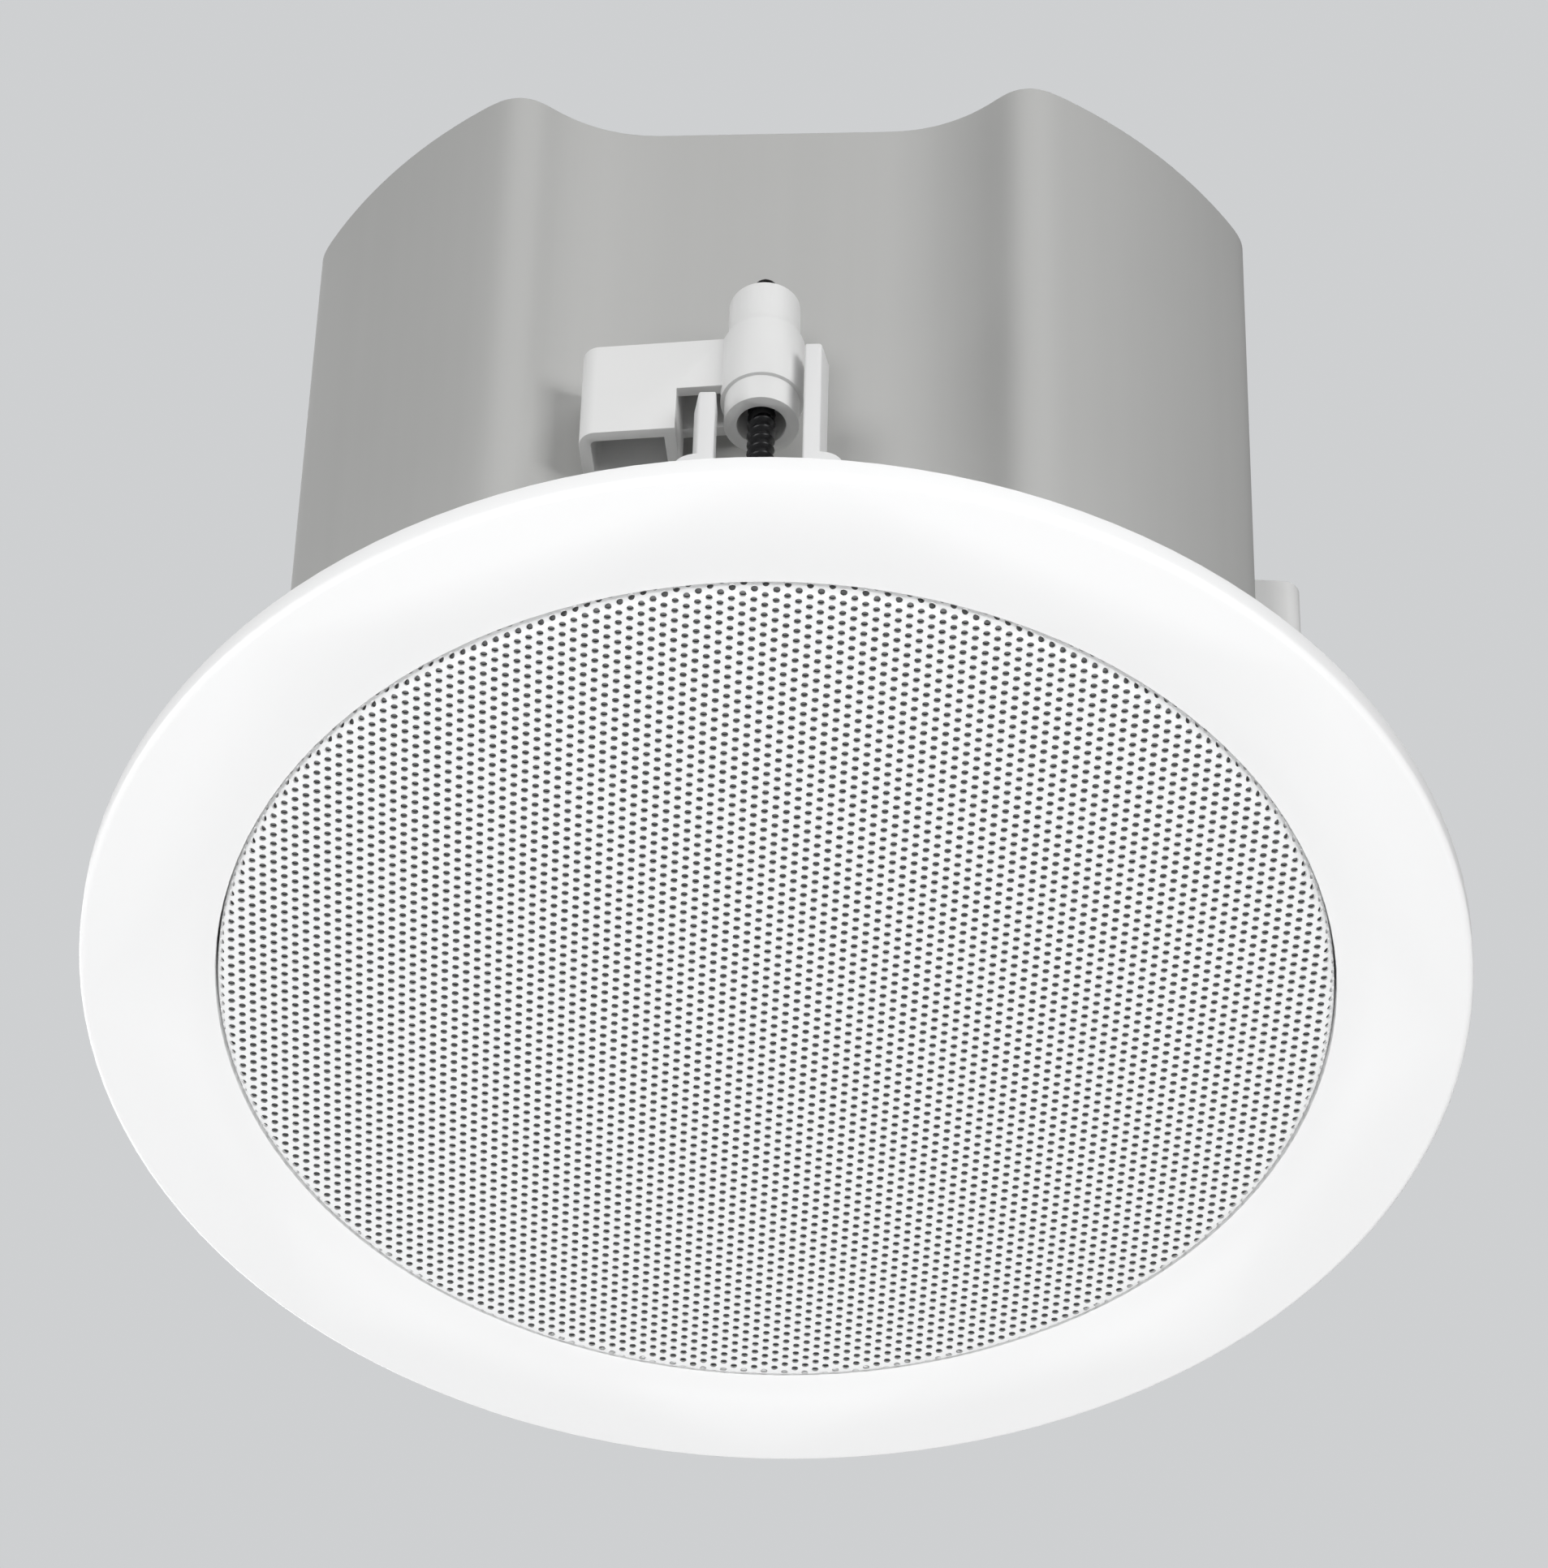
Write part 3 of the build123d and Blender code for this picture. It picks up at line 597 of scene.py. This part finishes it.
can = can_shell()
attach(can, HOUSING)
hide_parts("back_can")


# Clamp screws with a rolled thread

def station_centre(index):
    """Place of a clamp's axis; the first one is at the front."""
    angle = 2 * math.pi * index / STATIONS - math.pi / 2
    return CLAMP_R * math.cos(angle), CLAMP_R * math.sin(angle)


def add_thread(shape, centre):
    """A threaded shank from the head to the point; each column of vertices climbs by its share of a turn."""
    low_z = SCREW_HEAD_HIGH_Z
    high_z = SCREW_TIP_Z - SCREW_POINT
    turns = int((high_z - low_z) / SCREW_PITCH) + 1
    columns = []
    for side in range(SCREW_SIDES):
        share = side / SCREW_SIDES
        angle = 2 * math.pi * share
        column = []
        for turn in range(-1, turns + 1):
            for part, radius in THREAD_PROFILE:
                z = min(max(low_z + (turn + part + share) * SCREW_PITCH, low_z), high_z)
                column.append(shape.verts.new(polar(radius, angle, z, centre)))
        columns.append(column)
    for side in range(SCREW_SIDES):
        here = columns[side]
        there = columns[(side + 1) % SCREW_SIDES]
        shift = len(THREAD_PROFILE) if side == SCREW_SIDES - 1 else 0
        for index in range(len(here) - 1 - shift):
            beside = index + shift
            shape.faces.new((here[index], there[beside], there[beside + 1], here[index + 1]))
    bmesh.ops.remove_doubles(shape, verts=shape.verts, dist=SOLID_MERGE)


def screw_mesh(name, centre):
    """Pan head below the plate and a threaded shank up to the tip."""
    shape = bmesh.new()
    add_thread(shape, centre)
    head = [(r, SCREW_HEAD_LOW_Z + z) for r, z in SCREW_HEAD_DOME]
    head += [(SCREW_HEAD_R, SCREW_HEAD_HIGH_Z - SCREW_HEAD_EASE),
             (SCREW_HEAD_R - SCREW_HEAD_EASE, SCREW_HEAD_HIGH_Z), (0.0, SCREW_HEAD_HIGH_Z)]
    lathe(shape, head, SCREW_HEAD_SIDES, centre)
    point_z = SCREW_TIP_Z - 2 * SCREW_POINT
    tip = [(0.0, point_z), (SCREW_END_R, point_z)]
    tip += [(SCREW_END_R - inwards, SCREW_TIP_Z - down) for inwards, down in SCREW_TIP_ROUND]
    lathe(shape, tip + [(0.0, SCREW_TIP_Z)], SCREW_SIDES, centre)
    mesh = mesh_from(name, shape)
    smooth(mesh, ROUND_EDGE_ANGLE)
    return mesh


for number in range(1, STATIONS + 1):
    rod_mesh = screw_mesh(f"clamp_screw_thread_{number}", station_centre(number - 1))
    rod = add_piece(f"clamp_screw_thread_{number}", rod_mesh, BLACK_SCREW)
    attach(rod, f"clamp_screw_{number}")
    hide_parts(f"clamp_screw_{number}")


# Geometry trees

def geometry_tree(name, inputs, output):
    """A geometry tree with named inputs; returns the tree, its inputs and the socket where it ends."""
    tree = bpy.data.node_groups.new(name, "GeometryNodeTree")
    for label, kind in inputs:
        tree.interface.new_socket(label, in_out="INPUT", socket_type=kind)
    tree.interface.new_socket(output, in_out="OUTPUT", socket_type="NodeSocketGeometry")
    given = tree.nodes.new("NodeGroupInput").outputs
    end = tree.nodes.new("NodeGroupOutput").inputs[output]
    return tree, given, end


def place_of(tree):
    """Place of the point that is being worked on."""
    return tree.nodes.new("GeometryNodeInputPosition").outputs[0]


def reach_of(tree, place):
    """Distance of a place from the Z axis."""
    squares = [math_node(tree, "MULTIPLY", place[k], place[k]) for k in (0, 1)]
    return math_node(tree, "SQRT", math_node(tree, "ADD", *squares))


def set_position(tree, geometry, place):
    node = tree.nodes.new("GeometryNodeSetPosition")
    link(tree, geometry, node.inputs["Geometry"])
    link(tree, place, node.inputs["Position"])
    return node.outputs[0]


def delete_points(tree, geometry, selection):
    node = tree.nodes.new("GeometryNodeDeleteGeometry")
    node.domain = "POINT"
    link(tree, geometry, node.inputs["Geometry"])
    link(tree, selection, node.inputs["Selection"])
    return node.outputs[0]


def real_copies(tree, points, shape, turn):
    """Copies of an object on points, all turned about Z, as plain geometry."""
    info = tree.nodes.new("GeometryNodeObjectInfo")
    link(tree, shape, info.inputs["Object"])
    copies = tree.nodes.new("GeometryNodeInstanceOnPoints")
    link(tree, points, copies.inputs["Points"])
    link(tree, info.outputs["Geometry"], copies.inputs["Instance"])
    link(tree, join_xyz(tree, 0.0, 0.0, turn), copies.inputs["Rotation"])
    real = tree.nodes.new("GeometryNodeRealizeInstances")
    link(tree, copies.outputs[0], real.inputs[0])
    return real.outputs[0]


def paint_and_end(tree, geometry, finish, end):
    paint = tree.nodes.new("GeometryNodeSetMaterial")
    link(tree, geometry, paint.inputs["Geometry"])
    link(tree, finish, paint.inputs["Material"])
    link(tree, paint.outputs[0], end)


def grown_mesh(name, tree, values):
    """Runs a geometry tree with named values and returns the plain mesh."""
    carrier = add_object(name, bpy.data.meshes.new(name + "_seed"))
    modifier = carrier.modifiers.new(name, "NODES")
    modifier.node_group = tree
    ids = {item.name: item.identifier for item in tree.interface.items_tree if item.in_out == "INPUT"}
    for label, value in values.items():
        modifier[ids[label]] = value
    evaluated = carrier.evaluated_get(bpy.context.evaluated_depsgraph_get())
    mesh = bpy.data.meshes.new_from_object(evaluated)
    carrier.modifiers.remove(modifier)
    bpy.data.objects.remove(carrier)
    mesh.name = name
    return mesh


# Perforated grille

def perforation_cell():
    """One hexagonal cell of the sheet: its front face round a hole, and the hole's wall."""
    shape = bmesh.new()
    rim = round_ring(shape, HOLE_PITCH / math.sqrt(3), CELL_SIDES, 0.0)
    mouth = round_ring(shape, HOLE_R, HOLE_SIDES, 0.0)
    back = round_ring(shape, HOLE_R, HOLE_SIDES, HOLE_WALL)
    for k in range(CELL_SIDES):
        arc = (mouth[2 * k], mouth[2 * k + 1], mouth[(2 * k + 2) % HOLE_SIDES])
        shape.faces.new((rim[(k + 1) % CELL_SIDES], rim[k], *arc))
    bridge(shape, back, mouth)
    mesh = bpy.data.meshes.new("perforation_cell")
    shape.to_mesh(mesh)
    shape.free()
    return add_object("perforation_cell", mesh)


def cell_points(tree, given):
    """A staggered, turned grid of points, cut to the round blank and to one side of it."""
    op = partial(math_node, tree)
    column_step = op("MULTIPLY", given["Pitch"], math.sqrt(3) / 2)
    grid = tree.nodes.new("GeometryNodeMeshGrid")
    link(tree, op("MULTIPLY", op("SUBTRACT", given["Columns"], 1), column_step), grid.inputs["Size X"])
    link(tree, op("MULTIPLY", op("SUBTRACT", given["Rows"], 1), given["Pitch"]), grid.inputs["Size Y"])
    link(tree, given["Columns"], grid.inputs["Vertices X"])
    link(tree, given["Rows"], grid.inputs["Vertices Y"])
    place = split_xyz(tree, place_of(tree))
    column = op("ROUND", op("DIVIDE", place[0], column_step))
    half_step = op("MULTIPLY", op("FLOORED_MODULO", column, 2.0), op("MULTIPLY", given["Pitch"], 0.5))
    shifted = join_xyz(tree, place[0], op("ADD", place[1], half_step), 0.0)
    staggered = set_position(tree, grid.outputs["Mesh"], shifted)
    turned = tree.nodes.new("ShaderNodeVectorRotate")
    turned.rotation_type = "Z_AXIS"
    link(tree, place_of(tree), turned.inputs["Vector"])
    link(tree, given["Turn"], turned.inputs["Angle"])
    points = set_position(tree, staggered, turned.outputs[0])
    place = split_xyz(tree, place_of(tree))
    outside = op("GREATER_THAN", reach_of(tree, place), given["Blank Radius"])
    left = op("LESS_THAN", place[0], given["From X"])
    right = op("SUBTRACT", 1.0, op("LESS_THAN", place[0], given["To X"]))
    unwanted = op("ADD", op("ADD", outside, left), right)
    return delete_points(tree, points, op("GREATER_THAN", unwanted, 0.5))


def wrapped_place(tree, given):
    """Where a point of the flat sheet goes: out over the dome, round the bend and up the skirt."""
    op = partial(math_node, tree)
    place = split_xyz(tree, place_of(tree))
    reach = reach_of(tree, place)
    run = op("MAXIMUM", op("SUBTRACT", reach, given["Flat Radius"]), 0.0)
    bend = op("MINIMUM", op("DIVIDE", run, given["Bend Radius"]), math.pi / 2)
    bend_length = op("MULTIPLY", given["Bend Radius"], math.pi / 2)
    beyond = op("MAXIMUM", op("SUBTRACT", run, bend_length), 0.0)
    sine, cosine = op("SINE", bend), op("COSINE", bend)
    flat_reach = op("MINIMUM", reach, given["Flat Radius"])
    layer_r = op("SUBTRACT", given["Bend Radius"], place[2])
    radius = op("ADD", flat_reach, op("MULTIPLY", layer_r, sine))
    bend_rise = op("MULTIPLY", given["Bend Radius"], op("SUBTRACT", 1.0, cosine))
    rise = op("ADD", bend_rise, op("ADD", op("MULTIPLY", place[2], cosine), beyond))
    share = op("DIVIDE", flat_reach, given["Flat Radius"])
    rise = op("ADD", rise, op("MULTIPLY", given["Dome"], op("POWER", share, given["Dome Power"])))
    ratio = op("DIVIDE", radius, op("MAXIMUM", reach, LEAST_REACH))
    height = op("ADD", rise, given["Front Height"])
    return join_xyz(tree, op("MULTIPLY", place[0], ratio), op("MULTIPLY", place[1], ratio), height)


def perforation_tree():
    """Cells on a staggered grid, cut to a round blank and wrapped over the bend at its rim."""
    tree, given, end = geometry_tree("perforated_pan", (
        ("Cell", "NodeSocketObject"), ("Pitch", "NodeSocketFloat"), ("Turn", "NodeSocketFloat"),
        ("Columns", "NodeSocketInt"), ("Rows", "NodeSocketInt"), ("Blank Radius", "NodeSocketFloat"),
        ("Flat Radius", "NodeSocketFloat"), ("Bend Radius", "NodeSocketFloat"),
        ("Front Height", "NodeSocketFloat"), ("From X", "NodeSocketFloat"), ("To X", "NodeSocketFloat"),
        ("Finish", "NodeSocketMaterial"), ("Dome", "NodeSocketFloat"), ("Dome Power", "NodeSocketFloat"),
    ), "Sheet")
    cells = real_copies(tree, cell_points(tree, given), given["Cell"], given["Turn"])
    merged = tree.nodes.new("GeometryNodeMergeByDistance")
    link(tree, cells, merged.inputs["Geometry"])
    merged.inputs["Distance"].default_value = CELL_GAP * MM
    wrapped = set_position(tree, merged.outputs[0], wrapped_place(tree, given))
    paint_and_end(tree, wrapped, given["Finish"], end)
    return tree


cell_object = perforation_cell()
pan_tree = perforation_tree()
blank_r = GRILLE_FLAT_R + GRILLE_BEND_R * math.pi / 2 + SHEET_PAST_BEND
grille_pieces = []
for side, low, high in (("left", -1.0, 0.0), ("right", 0.0, 1.0)):
    sheet_mesh = grown_mesh(f"grille_sheet_{side}", pan_tree, {
        "Cell": cell_object, "Pitch": HOLE_PITCH * MM, "Turn": HOLE_TURN,
        "Columns": GRID_COLUMNS, "Rows": GRID_ROWS, "Blank Radius": blank_r * MM,
        "Flat Radius": GRILLE_FLAT_R * MM, "Bend Radius": GRILLE_BEND_R * MM,
        "Front Height": GRILLE_FRONT_Z * MM, "From X": low, "To X": high, "Finish": WHITE_POWDER_COAT,
        "Dome": GRILLE_DOME * MM, "Dome Power": GRILLE_DOME_POWER,
    })
    smooth(sheet_mesh, ROUND_EDGE_ANGLE)
    grille_pieces.append(add_piece(f"grille_sheet_{side}", sheet_mesh, WHITE_POWDER_COAT))
bpy.data.objects.remove(cell_object)

skirt_shape = bmesh.new()
skirt_low_z = GRILLE_FRONT_Z + GRILLE_DOME + GRILLE_BEND_R + SKIRT_PAST_BEND
skirt_in_r = GRILLE_R - GRILLE_SHEET
skirt_section = ((GRILLE_R, skirt_low_z), (GRILLE_R, GRILLE_SKIRT_Z),
                 (skirt_in_r, GRILLE_SKIRT_Z), (skirt_in_r, skirt_low_z))
lathe(skirt_shape, skirt_section, RIM_SIDES)
skirt_mesh = mesh_from("grille_skirt", skirt_shape)
smooth(skirt_mesh)
grille_pieces.append(add_piece("grille_skirt", skirt_mesh, WHITE_POWDER_COAT))
for piece in grille_pieces:
    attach(piece, HOUSING)
    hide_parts("grille")


# Scrim behind the grille

def scrim_side(bend_r, lag):
    """One face of the scrim in section: the dome, the bend, and the hem up the skirt."""
    low_z = GRILLE_FRONT_Z + GRILLE_SHEET + lag
    radii = [GRILLE_FLAT_R * step / SCRIM_STEPS for step in range(SCRIM_STEPS)]
    points = [(r, low_z + GRILLE_DOME * (r / GRILLE_FLAT_R) ** GRILLE_DOME_POWER) for r in radii]
    middle_z = low_z + GRILLE_DOME + bend_r
    turns = [math.radians(90 * step / BEND_STEPS) for step in range(BEND_STEPS + 1)]
    points += [(GRILLE_FLAT_R + bend_r * math.sin(a), middle_z - bend_r * math.cos(a)) for a in turns]
    return points + [(GRILLE_FLAT_R + bend_r, middle_z + SCRIM_HEM)]


scrim_shape = bmesh.new()
scrim_inside = scrim_side(SCRIM_BEND_R - SCRIM_SHEET, SCRIM_SHEET)
lathe(scrim_shape, scrim_side(SCRIM_BEND_R, 0.0) + scrim_inside[::-1], RIM_SIDES)
scrim_mesh = mesh_from("scrim_disc", scrim_shape)
smooth(scrim_mesh)
scrim = add_piece("scrim_disc", scrim_mesh, SCRIM_CLOTH)
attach(scrim, HOUSING)
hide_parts("grille_scrim")


# Fasteners on the can's roof, and the lap seam on its back

def button_side(shape, profile, radius, height, sides):
    """The side of a round button, from its foot up; returns its rings of vertices."""
    rings = [round_ring(shape, radius * reach, sides, height * level) for reach, level in profile]
    for low, high in zip(rings, rings[1:]):
        bridge(shape, low, high)
    return rings


def cross_head(name, radius, height):
    """A pan head with a cross recess, standing on z = 0."""
    shape = bmesh.new()
    top = button_side(shape, HEAD_PROFILE, radius, height, HEAD_SIDES)[-1]
    wide, narrow = CROSS_REACH * radius, CROSS_HALF_WIDTH * radius
    arm_end = [(wide, narrow), (narrow, narrow), (narrow, wide)]
    cross = []
    for _ in range(4):
        cross += arm_end
        arm_end = [(-y, x) for x, y in arm_end]
    lip = [shape.verts.new((x * MM, y * MM, height * MM)) for x, y in cross]
    pit = [shape.verts.new((x * CROSS_TAPER * MM, y * CROSS_TAPER * MM, height * CROSS_FLOOR * MM))
           for x, y in cross]
    edges = [shape.edges.new((lip[k], lip[(k + 1) % len(lip)])) for k in range(len(lip))]
    edges += [shape.edges.get((top[k], top[(k + 1) % HEAD_SIDES])) for k in range(HEAD_SIDES)]
    bmesh.ops.triangle_fill(shape, use_beauty=True, edges=edges)
    bridge(shape, lip, pit)
    shape.faces.new(pit)
    return add_object(name, mesh_from(name, shape))


def weld_dimple(name, radius, depth):
    """A shallow spot-weld button that stands on the YZ plane and faces +X."""
    shape = bmesh.new()
    rings = button_side(shape, WELD_PROFILE, radius, depth, WELD_SIDES)
    shape.faces.new(rings[-1])
    shape.faces.new(rings[0][::-1])
    for vertex in shape.verts:
        vertex.co = vertex.co.zxy
    return add_object(name, mesh_from(name, shape))


def scatter_tree():
    """Copies of one shape in a straight row: a count, a step, a start and one turn about Z."""
    tree, given, end = geometry_tree("row_of_copies", (
        ("Shape", "NodeSocketObject"), ("Count", "NodeSocketInt"), ("Start", "NodeSocketVector"),
        ("Step", "NodeSocketVector"), ("Turn", "NodeSocketFloat"), ("Finish", "NodeSocketMaterial"),
    ), "Copies")
    row = tree.nodes.new("GeometryNodeMeshLine")
    link(tree, given["Count"], row.inputs["Count"])
    link(tree, given["Start"], row.inputs["Start Location"])
    link(tree, given["Step"], row.inputs["Offset"])
    copies = real_copies(tree, row.outputs["Mesh"], given["Shape"], given["Turn"])
    paint_and_end(tree, copies, given["Finish"], end)
    return tree


row_tree = scatter_tree()
small_head = cross_head("small_cross_head", *SMALL_HEAD)
wide_head = cross_head("wide_cross_head", *WIDE_HEAD)
weld = weld_dimple("weld_button", *WELD_BUTTON)
seam_r = LOBE_R + SEAM_PROUD
weld_start = (seam_r * math.cos(SEAM_TURN), seam_r * math.sin(SEAM_TURN), WELD_LOW_Z)

# Each row: its name, shape, count, start, step, the turn of its pieces in radians, finish and slot
ROWS = (
    ("terminal_screws", small_head, 4, (-13.5, -31.0, TERMINAL_TOP_Z), (9.0, 0, 0), 0.4,
     ZINC_SCREW, "plated_steel"),
    ("bracket_screws", wide_head, 2, (-4.6, 46.0, BRACKET_FOOT_Z), (9.2, 0, 0), 0.9,
     ZINC_SCREW, "plated_steel"),
    ("board_screws_front", small_head, 2, (-33.0, -17.0, CAN_TOP_Z), (66.0, 0, 0), 0.2,
     ZINC_SCREW, "plated_steel"),
    ("board_screws_back", small_head, 2, (-33.0, 17.0, CAN_TOP_Z), (66.0, 0, 0), 1.1,
     ZINC_SCREW, "plated_steel"),
    ("seam_welds", weld, WELD_COUNT, weld_start, (0, 0, WELD_STEP), SEAM_TURN,
     CAN_COATING, "can_steel"),
)
for name, part, count, start, step, angle, material, slot_name in ROWS:
    row_mesh = grown_mesh(name, row_tree, {
        "Shape": part, "Count": count, "Start": Vector(start) * MM, "Step": Vector(step) * MM,
        "Turn": angle, "Finish": material,
    })
    smooth(row_mesh)
    row = add_piece(name, row_mesh, material)
    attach(row, HOUSING)
for part in (small_head, wide_head, weld):
    bpy.data.objects.remove(part)


def seam_strip():
    """The outer lap of the can's sheet: a strip that follows the lobe, with its edges eased."""
    shape = bmesh.new()
    inner = LOBE_R - SEAM_SUNK
    ease_in, ease_up = SEAM_END_EASE
    rows = []
    for k in range(SEAM_STEPS + 1):
        angle = SEAM_TURN + SEAM_HALF_ANGLE * (2 * k / SEAM_STEPS - 1)
        side_ease = SEAM_SIDE_EASE if k in (0, SEAM_STEPS) else 0.0
        outer = LOBE_R + SEAM_PROUD - side_ease
        section = (
            (inner, SEAM_LOW_Z), (outer - ease_in, SEAM_LOW_Z), (outer, SEAM_LOW_Z + ease_up),
            (outer, SEAM_HIGH_Z - ease_up), (outer - ease_in, SEAM_HIGH_Z), (inner, SEAM_HIGH_Z),
        )
        rows.append([shape.verts.new(polar(r, angle, z)) for r, z in section])
    closed_strip(shape, rows)
    mesh = mesh_from("can_lap_seam", shape)
    smooth(mesh)
    return add_piece("can_lap_seam", mesh, CAN_COATING)


seam = seam_strip()
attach(seam, HOUSING)


# Solids that keep their shape and get a finish

NODE_FINISHES = {
    "woofer_basket": BLACK_PAINT, "surround": SURROUND_RUBBER, "cone": CONE_PLASTIC,
    "spider": SPIDER_CLOTH, "voice_coil": BARE_ALUMINIUM, "top_plate": PLATED_STEEL, "magnet": FERRITE,
    "yoke": PLATED_STEEL, "tweeter": BLACK_MOULDING, "board_spacers": NYLON,
    "crossover_board": BOARD_LACQUER, "capacitor": FILM_CASE, "inductor": ENAMELLED_COPPER,
}
for node, material in NODE_FINISHES.items():
    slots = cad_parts[node].data.materials
    slots.clear()
    slots.append(material)


# Floor and room, in metres

FLOOR_Z = -2.4
FLOOR_HALF = 9.0
STUDIO_SHADE = (0.62, 0.63, 0.64, 1.0)
ROOM_SHADE = (0.78, 0.79, 0.80, 1.0)
ROOM_STRENGTH = 0.30


def show_plain(tree, lit, shown, end):
    """Lets the camera see a plain shade, and every other ray what lights the object."""
    seen = tree.nodes.new("ShaderNodeLightPath").outputs["Is Camera Ray"]
    either = tree.nodes.new("ShaderNodeMixShader")
    link(tree, seen, either.inputs[0])
    link(tree, lit.outputs[0], either.inputs[1])
    link(tree, shown.outputs[0], either.inputs[2])
    link(tree, either.outputs[0], end.inputs["Surface"])


floor_plan = ((-FLOOR_HALF, -FLOOR_HALF), (FLOOR_HALF, -FLOOR_HALF),
              (FLOOR_HALF, FLOOR_HALF), (-FLOOR_HALF, FLOOR_HALF))
floor_mesh = bpy.data.meshes.new("floor")
floor_mesh.from_pydata([(x, y, FLOOR_Z) for x, y in floor_plan], [], [(0, 1, 2, 3)])
FLOOR_PAINT = finish_material("pale_floor", (0.72, 0.72, 0.72), 0.7, tone=(2.0, 0.02, 0.02))
floor_nodes = FLOOR_PAINT.node_tree.nodes
floor_shown = floor_nodes.new("ShaderNodeEmission")
floor_shown.inputs["Color"].default_value = STUDIO_SHADE
show_plain(FLOOR_PAINT.node_tree, floor_nodes["Principled BSDF"], floor_shown, floor_nodes["Material Output"])
floor = add_piece("floor", floor_mesh, FLOOR_PAINT)

world = bpy.data.worlds.new("studio")
bpy.context.scene.world = world
world.use_nodes = True
studio = world.node_tree
room_light = studio.nodes["Background"]
room_light.inputs["Color"].default_value = ROOM_SHADE
room_light.inputs["Strength"].default_value = ROOM_STRENGTH
backdrop = studio.nodes.new("ShaderNodeBackground")
backdrop.inputs["Color"].default_value = STUDIO_SHADE
show_plain(studio, room_light, backdrop, studio.nodes["World Output"])
bpy.context.scene.view_settings.view_transform = "Standard"


# Lights: name, place and target in metres, size in metres, power in watts

LIGHTS = (
    ("below", (0.0, 0.1, -1.7), (0, 0, 0), 1.6, 28.0),
    ("front_right", (1.2, -1.2, 0.1), (0, 0, 0.06), 0.8, 14.6),
    ("front_left", (-0.6, -1.6, 0.1), (0, 0, 0.06), 0.8, 13.4),
    ("left", (-1.7, 0.0, 0.1), (0, 0, 0.06), 0.8, 10.4),
    ("overhead", (0.3, -0.7, 1.6), (0, 0, 0.1), 1.4, 3.8),
    ("back", (-0.9, 1.5, 0.8), (0, 0, 0.08), 1.3, 14.0),
)


def soft_light(name, place, target, size, power):
    """A square soft box aimed at a point."""
    light = bpy.data.lights.new(name, "AREA")
    light.size = size
    light.energy = power
    holder = add_object(name, light)
    holder.location = place
    holder.rotation_euler = (Vector(target) - Vector(place)).to_track_quat("-Z", "Y").to_euler()
    holder.visible_camera = False


for light_values in LIGHTS:
    soft_light(*light_values)


# Camera: in metres and radians, about a point on the bezel's face, and its lens in the photograph's pixels

CAMERA_DISTANCE = 1.33738
CAMERA_DROP = 0.78346
CAMERA_TURN = math.radians(3.4)
CAMERA_ROLL = 0.02935
CAMERA_TARGET = Vector((-0.00125, -0.05098, 0.0))
FACE_HEIGHT = Vector((0, 0, -0.0045))
PHOTO_LONG_SIDE = 1932
FOCAL_PIXELS = 9561.0
SENSOR_WIDTH = 36.0
VIEW_END = 50.0

turn = Matrix.Rotation(CAMERA_TURN, 3, "Z")
eye_back = CAMERA_DISTANCE * math.cos(CAMERA_DROP)
eye_below = CAMERA_DISTANCE * math.sin(CAMERA_DROP)
eye = turn @ Vector((0, -eye_back, -eye_below)) + FACE_HEIGHT
target = turn @ CAMERA_TARGET + FACE_HEIGHT
forward = (target - eye).normalized()
level = forward.cross(Vector((0, 0, 1))).normalized()
upright = level.cross(forward)
across = math.cos(CAMERA_ROLL) * level + math.sin(CAMERA_ROLL) * upright
above = -math.sin(CAMERA_ROLL) * level + math.cos(CAMERA_ROLL) * upright
camera_data = bpy.data.cameras.new("photo_view")
camera_data.sensor_fit = "AUTO"
camera_data.sensor_width = SENSOR_WIDTH
camera_data.lens = FOCAL_PIXELS * SENSOR_WIDTH / PHOTO_LONG_SIDE
camera_data.clip_end = VIEW_END
camera_pose = Matrix((across, above, -forward)).transposed().to_4x4()
camera_pose.translation = eye
camera = add_object("photo_view", camera_data)
camera.matrix_world = camera_pose
bpy.context.scene.camera = camera
